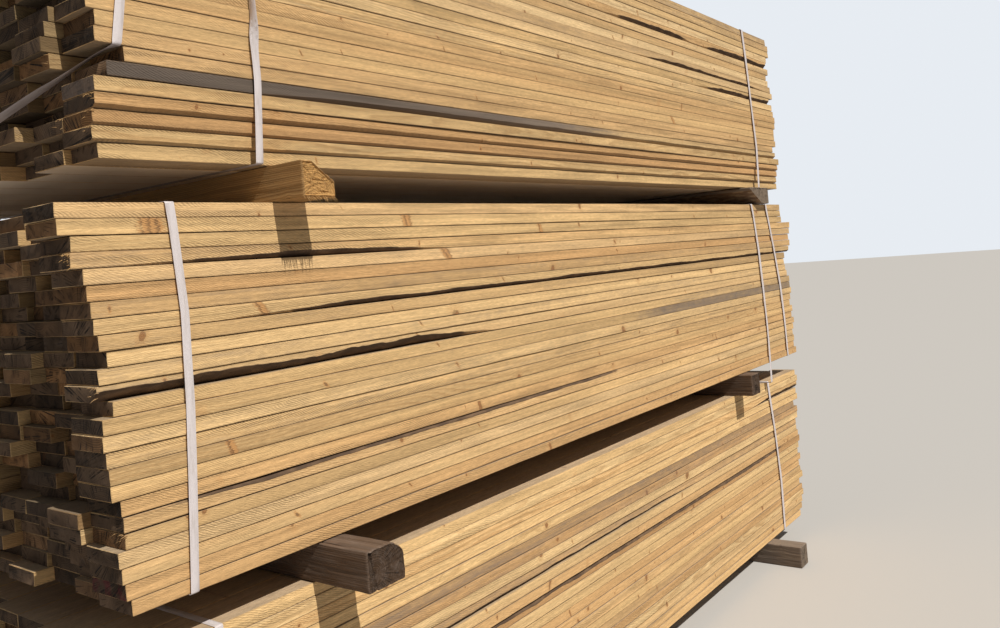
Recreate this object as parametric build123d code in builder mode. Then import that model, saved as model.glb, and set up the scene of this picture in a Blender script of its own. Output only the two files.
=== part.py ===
from build123d import *
import math
import os

os.makedirs("parts", exist_ok=True)

# A stack of lumber: three strapped packages of sawn boards on timber bearers, in millimetres.
# X runs along the boards, with the near end at -X. The side that shows its straps is at -Y.
# The origin is on the floor, under the middle of the stack.

# Boards
board_length = 3000
board_width = 100
board_thickness = 25
boards_in_row = 10
package_rows = {"low": 24, "middle": 25, "top": 25}
rows_in_node = 2
side_gap = 2
seat_gap = 0.3
near_scatter = 34
far_scatter = 38
longest_end = 67
side_scatter = 3
wane_width = 9
wane_height = 9
undercut_width = 13
undercut_height = 15

# Bearers: section width along X, the heights they hold open, and how far each end stands out
# past the boards
ground_bearer_width = 70
ground_bearer_height = 80
lower_gap = 79.6
upper_gap = 67.6
lower_bearer_width = 96
upper_bearer_width = 76
far_lower_bearer_width = 75
far_upper_bearer_width = 190
bearer_overhang = 45
long_overhang = 120
fresh_overhang = 85
short_overhang = 18
ground_overhang = 100

# Straps
strap_width = 16
strap_thickness = 1
strap_inner_corner = 0.2

# Places along X, from the near end of the boards to the middle of each bearer or strap
ground_bearer_places = [400, 2617]
lower_bearer_places = [418, 2422]
upper_bearer_places = [364, 2696]

# Worked out from the sizes above
row_pitch = board_thickness + seat_gap
package_width = boards_in_row * board_width + (boards_in_row - 1) * side_gap
near_end = -board_length / 2
side_face = package_width / 2
strap_face = side_face + seat_gap
strap_room = seat_gap + strap_thickness
lower_bearer_height = lower_gap - 2 * seat_gap
upper_bearer_height = upper_gap - 2 * seat_gap
strapped_bearer_height = upper_bearer_height - strap_room
board_pitch = board_width + side_gap - side_scatter / (boards_in_row - 1)


def package_height(package):
    """The height of a package's boards."""
    return package_rows[package] * row_pitch - seat_gap


low_bottom = ground_bearer_height + seat_gap
low_top = low_bottom + package_height("low")
middle_bottom = low_top + lower_gap
middle_top = middle_bottom + package_height("middle")
top_bottom = middle_top + upper_gap
top_top = top_bottom + package_height("top")
package_bottoms = {"low": low_bottom, "middle": middle_bottom, "top": top_bottom}

# Where the near end of each board at the strapped side stands, from the nominal near end, from
# the lowest row up. A minus sign is a board that sticks out.
side_near_ends = {
    "low": [
        10, 0, 15, 5, -10, 10, 20, 0, 5, 15, -5, 10,
        0, 20, 5, 10, 15, 0, 10, 5, 20, 0, 10, 5,
    ],
    "middle": [
        3, -5, -8, -12, 1, -1, -2, -16, -17, -18, -22, -21, -1,
        -25, -22, -5, -17, -22, -25, -29, -33, -50, -47, -65, -longest_end,
    ],
    "top": [
        7, -4, -2, 0, -1, 23, 52, 6, 10, -2, 5, -3, 8,
        0, 10, -5, 4, 12, -2, 6, 0, 9, -4, 5, 2,
    ],
}
# The far ends of the same boards, from the nominal far end. A plus sign is a board that sticks out.
side_far_ends = {
    "low": [
        -60, -30, -20, 0, -10, -35, 5, -15, -20, 0, -25, -10,
        10, -5, -20, -15, 0, 10, -30, 25, 15, 30, 40, 20,
    ],
    "middle": [
        20, 5, 12, -5, 10, 25, 0, 15, -10, 8, 20, 5, 15,
        -8, -25, -35, -30, 35, 50, 45, 55, longest_end, -28, -30, -30,
    ],
    "top": [
        5, -10, -5, -8, 5, -30, -55, -10, -25, -20, -5, 0, -15,
        -25, -50, -10, -25, -45, -60, -30, -50, -40, -15, -12, -35,
    ],
}
# Rows that keep some wane at the strapped side, on the upper edge or, deeper, on the lower one,
# counted from the lowest row, which is 0
waney_rows = {"low": [7, 12], "middle": [5], "top": [9, 17]}
undercut_rows = {"low": [3, 15, 21], "middle": [13, 17, 21], "top": [3, 5, 14, 20]}
# How each package lies on what is below it: shift along X, shift away from the strapped side,
# and turn about the upright axis, in degrees
package_lies = {"low": (30, 27, -0.1), "middle": (0, 0, 0), "top": (0, -5, 0.24)}
# How much narrower than the rest the outermost board of a row is
narrow_rows = {"low": {}, "middle": {}, "top": {0: 17, 1: 10, 2: 7, 3: 4}}
# A different start for each package, so that no two packages are scattered alike
scatter_starts = {"low": 11, "middle": 307, "top": 601}


def scatter(number):
    """A value from -1 to 1 that is unlike that of the next whole number."""
    wave = math.sin(number * 12.9898) * 43758.5453
    return 2 * (wave - math.floor(wave)) - 1


def board_ends(package, row, column):
    """The X of a board's near end and far end."""
    if column == 0:
        near = side_near_ends[package][row]
        far = side_far_ends[package][row]
    else:
        number = scatter_starts[package] + row * boards_in_row + column
        near = near_scatter * scatter(number)
        far = far_scatter * scatter(number + 1000)
    return near_end + near, near_end + board_length + far


def board_rows(package, first_row, last_row):
    """The boards of a few rows, side by side, each a bar with its own ends."""
    with BuildPart() as rows:
        for row in range(first_row, last_row):
            low = package_bottoms[package] + row * row_pitch
            high = low + board_thickness
            pushed_in = side_scatter * (0.5 + 0.5 * scatter(scatter_starts[package] + 2000 + row))
            for column in range(boards_in_row):
                near, far = board_ends(package, row, column)
                left = -side_face + pushed_in + column * board_pitch
                right = left + board_width
                if column == 0:
                    left += narrow_rows[package].get(row, 0)
                outline = [(right, low), (right, high)]
                if column == 0 and row in waney_rows[package]:
                    outline += [(left + wane_width, high), (left, high - wane_height)]
                else:
                    outline += [(left, high)]
                if column == 0 and row in undercut_rows[package]:
                    outline += [(left, low + undercut_height), (left + undercut_width, low)]
                else:
                    outline += [(left, low)]
                with BuildSketch(Plane.YZ.offset(near)):
                    with BuildLine():
                        Polyline(*outline, close=True)
                    make_face()
                extrude(amount=far - near, clean=False)
    return rows


def as_it_lies(package, solids):
    """A package's boards or strap, moved and turned in the way that the package lies."""
    along, inward, turn = package_lies[package]
    return Pos(along, inward, 0) * Rot(0, 0, turn) * solids


def bearer(place, bottom, outline, front, back):
    """A timber across the stack. The outline is its section, from its middle and its underside."""
    start = side_face + front
    with BuildPart() as timber:
        with BuildSketch(Plane((near_end + place, -start, bottom), x_dir=(1, 0, 0), z_dir=(0, -1, 0))):
            with BuildLine():
                Polyline(*outline, close=True)
            make_face()
        extrude(amount=-(start + side_face + back))
    return timber


def square_section(width, height):
    """A square-edged section."""
    return [(-width / 2, 0), (width / 2, 0), (width / 2, height), (-width / 2, height)]


def waney_section(width, height, flat, upright):
    """A section whose upper far corner is still the round of the log: the flat is what is left
    of the top, and the upright is what is left of the far side."""
    outline = [(-width / 2, 0), (width / 2, 0)]
    steps = 4
    for step in range(steps + 1):
        turn = math.radians(90 * step / steps)
        across = -width / 2 + flat + (width - flat) * (0.55 * math.cos(turn) + 0.45 * (1 - step / steps))
        up = upright + (height - upright) * (0.55 * math.sin(turn) + 0.45 * step / steps)
        outline.append((across, up))
    outline.append((-width / 2, height))
    return outline


def strap_ring(package, top_place, bottom_place, slack):
    """A strap round a package. It leans if its top and bottom places differ, and its lower run
    hangs below the package by the slack."""
    run = bottom_place - top_place
    top = package_bottoms[package] + package_height(package) + strap_room
    bottom = package_bottoms[package] - strap_room - slack
    height = top - bottom
    leaning = math.hypot(run, height)
    middle_place = near_end + (top_place + bottom_place) / 2
    middle = (middle_place - strap_width / 2, 0, (top + bottom) / 2)
    across = 2 * (strap_face + strap_thickness)
    with BuildPart() as strap:
        with BuildSketch(Plane(middle, x_dir=(0, 1, 0), z_dir=(height, 0, run))):
            RectangleRounded(across, leaning, strap_inner_corner + strap_thickness)
            RectangleRounded(
                across - 2 * strap_thickness,
                leaning - 2 * strap_thickness,
                strap_inner_corner,
                mode=Mode.SUBTRACT,
            )
        extrude(amount=strap_width, dir=(1, 0, 0))
    return strap


packages = ["low", "middle", "top"]
for package in packages:
    for first_row in range(0, package_rows[package], rows_in_node):
        last_row = min(first_row + rows_in_node, package_rows[package])
        rows = board_rows(package, first_row, last_row)
        name = f"{package}_package_row_{last_row:02d}"
        if last_row > first_row + 1:
            name = f"{package}_package_rows_{first_row + 1:02d}_and_{last_row:02d}"
        boards = as_it_lies(package, rows.part)
        boards.label = name
        export_step(boards, f"parts/{name}.step")

# Each bearer: place along X, underside, section, overhang at the strapped side and at the back
ground_section = square_section(ground_bearer_width, ground_bearer_height)
fresh_section = waney_section(upper_bearer_width, upper_bearer_height, 25, 28)
old_section = waney_section(lower_bearer_width, lower_bearer_height, 62, 52)
slab_section = [
    (-far_upper_bearer_width / 2 + 110, 0),
    (far_upper_bearer_width / 2, 0),
    (far_upper_bearer_width / 2, strapped_bearer_height),
    (-far_upper_bearer_width / 2, strapped_bearer_height),
    (-far_upper_bearer_width / 2, strapped_bearer_height - 12),
]
far_lower_section = square_section(far_lower_bearer_width, lower_bearer_height)
bearers = {
    "ground_bearer_near": (ground_bearer_places[0], 0, ground_section, bearer_overhang, long_overhang),
    "ground_bearer_far": (ground_bearer_places[1], 0, ground_section, ground_overhang, bearer_overhang),
    "lower_bearer_near": (
        lower_bearer_places[0], low_top + seat_gap, old_section, long_overhang, short_overhang,
    ),
    "lower_bearer_far": (
        lower_bearer_places[1], low_top + seat_gap, far_lower_section, bearer_overhang, ground_overhang,
    ),
    "upper_bearer_near": (
        upper_bearer_places[0], middle_top + seat_gap, fresh_section, fresh_overhang, bearer_overhang,
    ),
    "upper_bearer_far": (
        upper_bearer_places[1], middle_top + seat_gap, slab_section, short_overhang, bearer_overhang,
    ),
}
for name, (place, bottom, section, front, back) in bearers.items():
    timber = bearer(place, bottom, section, front, back)
    timber.part.label = name
    export_step(timber.part, f"parts/{name}.step")

# Each strap: package, place of its top and bottom runs along X, and slack
lying_slack = lower_gap - strap_room - seat_gap
straps = {
    "low_package_strap_near": ("low", 136, 140, 0),
    "low_package_strap_far": ("low", 2688, 2740, 0),
    "middle_package_strap_near": ("middle", 124, 110, 0),
    "middle_package_strap_far_slack": ("middle", 2650, 2697, lying_slack),
    "middle_package_strap_far_end": ("middle", 2802, 2907, 0),
    "top_package_strap_near": ("top", 301, 293, 0),
    "top_package_strap_far": ("top", 2697, 2738, 0),
}
for name, (package, top_place, bottom_place, slack) in straps.items():
    ring = strap_ring(package, top_place, bottom_place, slack)
    strap = as_it_lies(package, ring.part)
    strap.label = name
    export_step(strap, f"parts/{name}.step")

# The slipped strap of the top package. It goes over the top and down the strapped side, turns
# under the eighth row where the seventh is set back, crosses the board ends and climbs the back.
slipped_top_place = 110
slipped_side_place = 43
turn_row = 7
turn_room = 7
corner_drop = 43
corner_reach = 60
end_drop = 130
back_rise = 60
strap_middle = strap_face + strap_thickness / 2
end_plane = near_end - near_scatter - seat_gap - strap_thickness
slipped_top = top_top + seat_gap + strap_thickness / 2
turn_height = top_bottom + turn_row * row_pitch - seat_gap - turn_room
front_height = turn_height - corner_drop
back_height = front_height - end_drop
end_slope = end_drop / package_width
top_place_x = near_end + slipped_top_place
side_place_x = near_end + slipped_side_place
corner_stretch = math.sqrt(2)


def station(place, width_direction, run_direction, stretch):
    """The strap's section at one place on its way."""
    plane = Plane(place, x_dir=width_direction, z_dir=run_direction)
    return plane * Rectangle(strap_width, strap_thickness * stretch)


over_the_top = station((top_place_x, 0, slipped_top), (1, 0, 0), (0, -1, 0), 1)
middle_height = (front_height + back_height) / 2
across_the_ends = station((end_plane, 0, middle_height), (0, -end_slope, -1), (0, 1, -end_slope), 1)
front_stations = [
    over_the_top,
    station((top_place_x, -strap_middle, slipped_top), (1, 0, 0), (0, -1, -1), corner_stretch),
    station((side_place_x, -strap_middle, turn_height), (1, 0, 0), (-0.2, 0.1, -1), 1),
    station((end_plane, -side_face + corner_reach, front_height), (0.1, -end_slope, -1), (-0.5, 1, -0.3), 1),
    across_the_ends,
]
back_stations = [
    across_the_ends,
    station((end_plane, strap_middle, back_height), (0, 0, -1), (1, 1, 0), corner_stretch),
    station((side_place_x, strap_middle, back_height + back_rise), (1, 0, -0.4), (0.4, 0, 1), 1),
    station((top_place_x, strap_middle, slipped_top), (1, 0, 0), (0, -1, 1), corner_stretch),
    over_the_top,
]
with BuildPart() as slipped_strap:
    loft(front_stations, ruled=True)
    loft(back_stations, ruled=True)
slipped = as_it_lies("top", slipped_strap.part)
slipped.label = "top_package_strap_slipped"
export_step(slipped, "parts/top_package_strap_slipped.step")
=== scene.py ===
# %% [markdown]
# # A stack of lumber
# Three strapped packages of sawn pine boards lie one on top of the other, with timber bearers
# between them and under them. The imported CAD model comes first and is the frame: it says where
# each board, bearer and strap is. Everything here is in metres, with X along the boards, the
# side that shows its straps at -Y, and Z up.

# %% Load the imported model
import math

import bpy
import numpy as np
from mathutils import Matrix, Vector, noise


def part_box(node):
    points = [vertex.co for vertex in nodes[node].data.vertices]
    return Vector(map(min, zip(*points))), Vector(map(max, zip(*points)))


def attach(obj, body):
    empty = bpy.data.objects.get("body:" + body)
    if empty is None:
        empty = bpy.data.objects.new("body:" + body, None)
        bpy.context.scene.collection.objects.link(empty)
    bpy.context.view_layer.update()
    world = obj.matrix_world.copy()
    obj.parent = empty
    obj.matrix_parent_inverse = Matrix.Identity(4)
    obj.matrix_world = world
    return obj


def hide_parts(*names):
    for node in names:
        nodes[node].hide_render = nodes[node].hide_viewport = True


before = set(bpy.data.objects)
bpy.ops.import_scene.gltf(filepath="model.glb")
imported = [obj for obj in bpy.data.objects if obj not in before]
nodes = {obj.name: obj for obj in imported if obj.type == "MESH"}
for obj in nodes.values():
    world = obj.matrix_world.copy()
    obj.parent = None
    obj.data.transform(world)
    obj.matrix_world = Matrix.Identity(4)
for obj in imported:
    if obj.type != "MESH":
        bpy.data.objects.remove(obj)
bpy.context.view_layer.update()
print("pieces in the frame:", len(nodes))

# %% [markdown]
# ## The camera
# The picture was taken from close to the near corner, with the camera held a little askew. A
# camera can be placed by eye, but a stack has many straight edges, so its place, aim and lens
# were fitted to them instead. The optical axis lies above the middle of the picture, because the
# picture was cropped, and a small upright shift says so.

# %% Camera
def aim(yaw, pitch, roll):
    """The camera's axes as a matrix: yaw turns from +X towards +Y, and roll tips the frame."""
    ahead = Vector((math.cos(yaw) * math.cos(pitch), math.sin(yaw) * math.cos(pitch), math.sin(pitch)))
    level = Vector((math.sin(yaw), -math.cos(yaw), 0))
    above = level.cross(ahead)
    right = math.cos(roll) * level + math.sin(roll) * above
    up = -math.sin(roll) * level + math.cos(roll) * above
    return Matrix((right, up, -ahead)).transposed()


lens = bpy.data.cameras.new("stack_camera")
lens.sensor_width = 36
lens.lens = 31.37
lens.shift_y = -0.061
lens.clip_end = 60
camera = bpy.data.objects.new("stack_camera", lens)
bpy.context.scene.collection.objects.link(camera)
yaw, pitch, roll = math.radians(37.25), math.radians(0.55), math.radians(-4.80)
eye = (-2.1881, -1.7857, 1.2575)
turn = aim(yaw, pitch, roll).to_4x4()
camera.matrix_world = Matrix.Translation(eye) @ turn
bpy.context.scene.camera = camera
print("camera looks along", [round(v, 3) for v in -turn.col[2]][:3])

# %% [markdown]
# ## Light, floor and background
# The real stack stands in high sunshine that falls square on its long side. That side is lit,
# the near end is in shade and only grazed, and the bearers throw short shadows down the boards.
# The shadows' ends say how high the sun stands: about 52 degrees. One sun lamp gives that, and
# an even pale sky fills the shade. The floor is a plain pale plane. To any ray but the camera's
# it is darker, so that it doesn't light the shady end too much.

# %% Sun and sky
sun = bpy.data.lights.new("sun", "SUN")
sun.energy = 4.15
sun.angle = math.radians(0.7)
sun.color = (1.0, 0.965, 0.91)
sun_object = bpy.data.objects.new("sun", sun)
sun_object.rotation_mode = "QUATERNION"
to_sun = Vector((-0.10, -1.0, 1.27))
sun_object.rotation_quaternion = to_sun.to_track_quat("Z", "Y")
bpy.context.scene.collection.objects.link(sun_object)

scene = bpy.context.scene
scene.view_settings.view_transform = "Standard"
scene.world = bpy.data.worlds.new("even_sky")
scene.world.use_nodes = True
sky = scene.world.node_tree
sky.nodes.clear()
sky_out = sky.nodes.new("ShaderNodeOutputWorld")
sky_light = sky.nodes.new("ShaderNodeBackground")
sky_light.inputs["Color"].default_value = (0.92, 0.94, 1.0, 1)
sky_light.inputs["Strength"].default_value = 0.225
sky_seen = sky.nodes.new("ShaderNodeBackground")
sky_seen.inputs["Color"].default_value = (0.80, 0.84, 0.89, 1)
sky_seen.inputs["Strength"].default_value = 1.0
sky_rays = sky.nodes.new("ShaderNodeLightPath")
sky_mix = sky.nodes.new("ShaderNodeMixShader")
sky.links.new(sky_rays.outputs["Is Camera Ray"], sky_mix.inputs["Fac"])
sky.links.new(sky_light.outputs["Background"], sky_mix.inputs[1])
sky.links.new(sky_seen.outputs["Background"], sky_mix.inputs[2])
sky.links.new(sky_mix.outputs["Shader"], sky_out.inputs["Surface"])
print("sun", sun.energy, "sky", sky_light.inputs["Strength"].default_value)

# %% Floor
floor_mesh = bpy.data.meshes.new("floor")
floor_reach = 40
floor_corners = [(floor_reach * x, floor_reach * y, 0) for x, y in ((-1, -1), (1, -1), (1, 1), (-1, 1))]
floor_mesh.from_pydata(floor_corners, [], [(0, 1, 2, 3)])
floor = bpy.data.objects.new("floor", floor_mesh)
scene.collection.objects.link(floor)
floor_paint = bpy.data.materials.new("plain_floor")
floor_paint.use_nodes = True
floor_tree = floor_paint.node_tree
floor_shader = floor_tree.nodes["Principled BSDF"]
floor_shader.inputs["Roughness"].default_value = 0.9
floor_rays = floor_tree.nodes.new("ShaderNodeLightPath")
floor_colour = floor_tree.nodes.new("ShaderNodeMix")
floor_colour.data_type = "RGBA"
floor_colour.inputs["A"].default_value = (0.345, 0.325, 0.31, 1)
floor_colour.inputs["B"].default_value = (0.50, 0.48, 0.45, 1)
floor_tree.links.new(floor_rays.outputs["Is Camera Ray"], floor_colour.inputs["Factor"])
floor_tree.links.new(floor_colour.outputs["Result"], floor_shader.inputs["Base Color"])
floor.data.materials.append(floor_paint)

# %% [markdown]
# ## Small helpers for node trees
# Procedural wood is arithmetic on a position. These helpers keep each step of that arithmetic
# on one line: they add a node, join what goes into it, and hand back the socket that comes out.

# %% Node helpers
def join(tree, value, socket):
    """Links a socket, or sets a plain number or colour."""
    if isinstance(value, bpy.types.NodeSocket):
        tree.links.new(value, socket)
    else:
        socket.default_value = value


def calc(tree, operation, *values, clamp=False):
    """One Math node."""
    step = tree.nodes.new("ShaderNodeMath")
    step.operation = operation
    step.use_clamp = clamp
    for value, socket in zip(values, step.inputs):
        join(tree, value, socket)
    return step.outputs[0]


def plus(tree, first, second):
    """The sum of two values."""
    return calc(tree, "ADD", first, second)


def minus(tree, first, second):
    """The first value less the second."""
    return calc(tree, "SUBTRACT", first, second)


def times(tree, first, second):
    """The product of two values."""
    return calc(tree, "MULTIPLY", first, second)


def divide(tree, first, second):
    """The first value divided by the second."""
    return calc(tree, "DIVIDE", first, second)


def times_plus(tree, first, second, third):
    """The product of the first two values, and the third added to it."""
    return calc(tree, "MULTIPLY_ADD", first, second, third)


def slanting(tree, first, second):
    """How long the slanting side is whose two upright ones are given."""
    return calc(tree, "SQRT", plus(tree, times(tree, first, first), times(tree, second, second)))


def span(tree, value, low, high, start=0.0, end=1.0, smooth=True):
    """Takes a value from low-high to start-end, and holds it there."""
    step = tree.nodes.new("ShaderNodeMapRange")
    step.interpolation_type = "SMOOTHSTEP" if smooth else "LINEAR"
    for name, number in (("From Min", low), ("From Max", high), ("To Min", start), ("To Max", end)):
        join(tree, number, step.inputs[name])
    join(tree, value, step.inputs["Value"])
    return step.outputs["Result"]


def stretch_by(tree, vector, factor):
    """A vector or colour times one value."""
    step = tree.nodes.new("ShaderNodeVectorMath")
    step.operation = "SCALE"
    join(tree, vector, step.inputs[0])
    join(tree, factor, step.inputs["Scale"])
    return step.outputs["Vector"]


def stretch(tree, vector, factors):
    """A vector times three numbers."""
    step = tree.nodes.new("ShaderNodeVectorMath")
    step.operation = "MULTIPLY"
    join(tree, vector, step.inputs[0])
    step.inputs[1].default_value = factors
    return step.outputs["Vector"]


def cloud(tree, vector, scale, detail=2.0, roughness=0.5):
    """Soft noise from 0 to 1."""
    step = tree.nodes.new("ShaderNodeTexNoise")
    join(tree, vector, step.inputs["Vector"])
    join(tree, scale, step.inputs["Scale"])
    step.inputs["Detail"].default_value = detail
    step.inputs["Roughness"].default_value = roughness
    return step.outputs["Fac"]


def streaky(tree, place, paces, detail=2.0, roughness=0.5):
    """Soft noise with a pace of its own along, across and up."""
    return cloud(tree, stretch(tree, place, paces), 1.0, detail, roughness)


def tint(tree, amount, first, second):
    """Mixes two colours."""
    step = tree.nodes.new("ShaderNodeMix")
    step.data_type = "RGBA"
    join(tree, amount, step.inputs["Factor"])
    join(tree, first, step.inputs["A"])
    join(tree, second, step.inputs["B"])
    return step.outputs["Result"]


def ramp(tree, value, low, high, first, second):
    """The first colour where the value is low, and the second where it is high."""
    return tint(tree, span(tree, value, low, high), first, second)


def cover(tree, colour, mask, strength, second):
    """Lays a second colour over the first, where the mask says and as strongly as given."""
    return tint(tree, times(tree, mask, strength), colour, second)


def shade_of(tree, *layers):
    """The product of several shades. Each is a value, taken from low-high to start-end."""
    shade = None
    for value, low, high, start, end in layers:
        layer = span(tree, value, low, high, start, end, smooth=False)
        shade = layer if shade is None else times(tree, shade, layer)
    return shade


def parts_of(tree, vector):
    """The three numbers of a vector."""
    step = tree.nodes.new("ShaderNodeSeparateXYZ")
    join(tree, vector, step.inputs[0])
    return step.outputs[0], step.outputs[1], step.outputs[2]


def vector_of(tree, x, y, z):
    """Three numbers as a vector."""
    step = tree.nodes.new("ShaderNodeCombineXYZ")
    for value, socket in zip((x, y, z), step.inputs):
        join(tree, value, socket)
    return step.outputs[0]


def dice(tree, number, salt):
    """A steady random number for a whole number and a salt."""
    step = tree.nodes.new("ShaderNodeTexWhiteNoise")
    step.noise_dimensions = "2D"
    join(tree, vector_of(tree, number, salt, 0.0), step.inputs["Vector"])
    return step.outputs["Value"]


kinds = {"value": "NodeSocketFloat", "vector": "NodeSocketVector", "colour": "NodeSocketColor"}


def new_group(name, takes, gives):
    """An empty node group with named inputs, each with its usual value, and named outputs."""
    group = bpy.data.node_groups.new(name, "ShaderNodeTree")
    for socket_name, kind, usual in takes:
        socket = group.interface.new_socket(name=socket_name, in_out="INPUT", socket_type=kinds[kind])
        if usual is not None:
            socket.default_value = usual
    for socket_name, kind in gives:
        group.interface.new_socket(name=socket_name, in_out="OUTPUT", socket_type=kinds[kind])
    inside = group.nodes.new("NodeGroupInput")
    outside = group.nodes.new("NodeGroupOutput")
    return group, inside.outputs, outside.inputs


def use_group(tree, group, **values):
    """Places a node group in a tree. An underscore in a name stands for a space."""
    placed = tree.nodes.new("ShaderNodeGroup")
    placed.node_tree = group
    for name, value in values.items():
        join(tree, value, placed.inputs[name.replace("_", " ")])
    return placed.outputs


def attribute(tree, name, output="Vector"):
    """What the mesh carries at each point under that name."""
    step = tree.nodes.new("ShaderNodeAttribute")
    step.attribute_name = name
    return step.outputs[output]


# %% [markdown]
# ## Knots
# A knot is a branch that the log grew round. It runs out from the pith, so a board shows it as
# a round eye where the saw crosses it, or as a long spike where the saw runs along it. Painting
# dark spots on each face would never give both. This group works in the log's own space
# instead: each length of log gets one branch at its own angle, and the distance to that branch
# is measured in three dimensions, so that every face of the board agrees about it.

# %% Knot group
knot_group, knot_in, knot_out = new_group(
    "Branch Knot",
    [
        ("Grain", "vector", None), ("Place", "value", 0.0), ("Angle", "value", 0.0),
        ("Radius", "value", 0.01),
    ],
    [("Distance", "value"), ("Knot", "value"), ("Rim", "value"), ("Bend", "value")],
)
tree = knot_group
along, across, up = parts_of(tree, knot_in["Grain"])
cosine = calc(tree, "COSINE", knot_in["Angle"])
sine = calc(tree, "SINE", knot_in["Angle"])
out_along = plus(tree, times(tree, across, cosine), times(tree, up, sine))
sideways = minus(tree, times(tree, up, cosine), times(tree, across, sine))
branch_x = times_plus(tree, out_along, 0.35, knot_in["Place"])
length_gap = minus(tree, along, branch_x)
reach = slanting(tree, length_gap, sideways)
swelling = span(tree, out_along, 0.0, 0.12, 0.45, 1.15, smooth=False)
ragged = span(tree, cloud(tree, knot_in["Grain"], 90.0, 2.0), 0.3, 0.7, 0.82, 1.18)
size = times(tree, times(tree, knot_in["Radius"], swelling), ragged)
distance = divide(tree, reach, size)
behind = span(tree, out_along, 0.0, 0.004, 40.0, 0.0, smooth=False)
distance = plus(tree, distance, behind)
join(tree, distance, knot_out["Distance"])
join(tree, span(tree, distance, 0.86, 1.04, 1.0, 0.0), knot_out["Knot"])
rim_in = span(tree, distance, 0.78, 1.0)
rim_out = span(tree, distance, 1.04, 1.3, 1.0, 0.0)
join(tree, times(tree, rim_in, rim_out), knot_out["Rim"])
squared = times_plus(tree, times(tree, distance, distance), 0.55, 1.0)
join(tree, divide(tree, 0.011, squared), knot_out["Bend"])
print("knot group:", len(tree.nodes), "nodes")

# %% [markdown]
# Three branches for every thirty centimetres is about what a pine has. A second group places
# the knot group three times with diced angles and sizes, and adds up what they do to the wood
# round them.

# %% All knots of a board
knots_group, knots_in, knots_out = new_group(
    "Pine Knots",
    [("Grain", "vector", None), ("Size", "value", 1.0)],
    [("Knot", "value"), ("Rim", "value"), ("Halo", "value"), ("Bend", "value"), ("Distance", "value")],
)
tree = knots_group
along = parts_of(tree, knots_in["Grain"])[0]
found = []
for number, pace in enumerate((0.231, 0.287, 0.353)):
    cell = calc(tree, "FLOOR", divide(tree, along, pace))
    jitter = times_plus(tree, dice(tree, cell, 1.7 + number), 0.5, 0.25)
    place = times(tree, plus(tree, cell, jitter), pace)
    angle = times(tree, dice(tree, cell, 11.3 + number), 2 * math.pi)
    mostly_small = calc(tree, "POWER", dice(tree, cell, 23.9 + number), 2.2)
    radius = times(tree, times_plus(tree, mostly_small, 0.0085, 0.0022), knots_in["Size"])
    found.append(use_group(
        tree, knot_group, Grain=knots_in["Grain"], Place=place, Angle=angle, Radius=radius,
    ))
for name, operation in (("Knot", "MAXIMUM"), ("Rim", "MAXIMUM"), ("Bend", "ADD"), ("Distance", "MINIMUM")):
    total = found[0][name]
    for other in found[1:]:
        total = calc(tree, operation, total, other[name])
    join(tree, total, knots_out[name])
    if name == "Distance":
        join(tree, span(tree, total, 0.9, 3.4, 1.0, 0.0), knots_out["Halo"])
print("branches for a board:", len(found))

# %% [markdown]
# ## Growth rings, fibres and streaks
# The rings are cylinders round the pith that wander a little along the log. On the narrow edge
# of a board they show as long lines, which close up into flames where the saw meets them at a
# slant, and on a board's end as arcs. Fibres are much finer streaks, and the slow streaks are
# differences of colour as wide as a finger. Stretching a flat picture of wood over the boards
# would get the ends wrong, so all of it is worked out from the same point in the log.

# %% Growth ring group
rings_group, rings_in, rings_out = new_group(
    "Growth Rings",
    [("Grain", "vector", None), ("Pitch", "value", 0.0021), ("Bend", "value", 0.0)],
    [("Late Wood", "value"), ("Radius", "value"), ("Fibres", "value"), ("Streaks", "value")],
)
tree = rings_group
_, across, up = parts_of(tree, rings_in["Grain"])
slow = streaky(tree, rings_in["Grain"], (1.1, 5.0, 5.0), 2.0)
other_slow = cloud(tree, stretch(tree, rings_in["Grain"], (1.3, 4.0, 4.0)), 1.7, 2.0)
small = streaky(tree, rings_in["Grain"], (9.0, 60.0, 60.0), 2.0)
bent_across = times_plus(tree, minus(tree, slow, 0.5), 0.030, across)
bent_up = times_plus(tree, minus(tree, other_slow, 0.5), 0.030, up)
radius = slanting(tree, bent_across, bent_up)
radius = times_plus(tree, minus(tree, small, 0.5), 0.0022, radius)
radius = minus(tree, radius, rings_in["Bend"])
join(tree, radius, rings_out["Radius"])
good_years = cloud(tree, vector_of(tree, times(tree, radius, 70.0), 0.0, 0.0), 1.0, 1.0)
phase = plus(tree, divide(tree, radius, rings_in["Pitch"]), times(tree, good_years, 2.2))
year = calc(tree, "FRACT", phase)
darkening = span(tree, year, 0.25, 0.86)
ending = span(tree, year, 0.88, 1.0, 1.0, 0.0)
join(tree, times(tree, darkening, ending), rings_out["Late Wood"])
fibres = streaky(tree, rings_in["Grain"], (38.0, 620.0, 620.0), 4.0, 0.7)
join(tree, fibres, rings_out["Fibres"])
streaks = streaky(tree, rings_in["Grain"], (1.6, 120.0, 120.0), 3.0, 0.55)
join(tree, streaks, rings_out["Streaks"])
print("ring group:", len(tree.nodes), "nodes")

# %% [markdown]
# ## Saw marks
# The saw leaves fine parallel ridges on a board's edge, about four millimetres apart. On these
# boards they run down at a shallow slant, steeper on some boards than on others, and come and
# go along the length. They could be cut into the mesh, but they are a few tenths of a
# millimetre deep, which is bump's work. Each board has its own stretch of log, and the number
# of that stretch dices its slant.

# %% Saw mark group
log_step = 3.7
log_margin = 0.4


def board_number(tree, along):
    """A whole number that is each board's own, from its place in the log."""
    return calc(tree, "FLOOR", divide(tree, plus(tree, along, log_margin), log_step))


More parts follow.
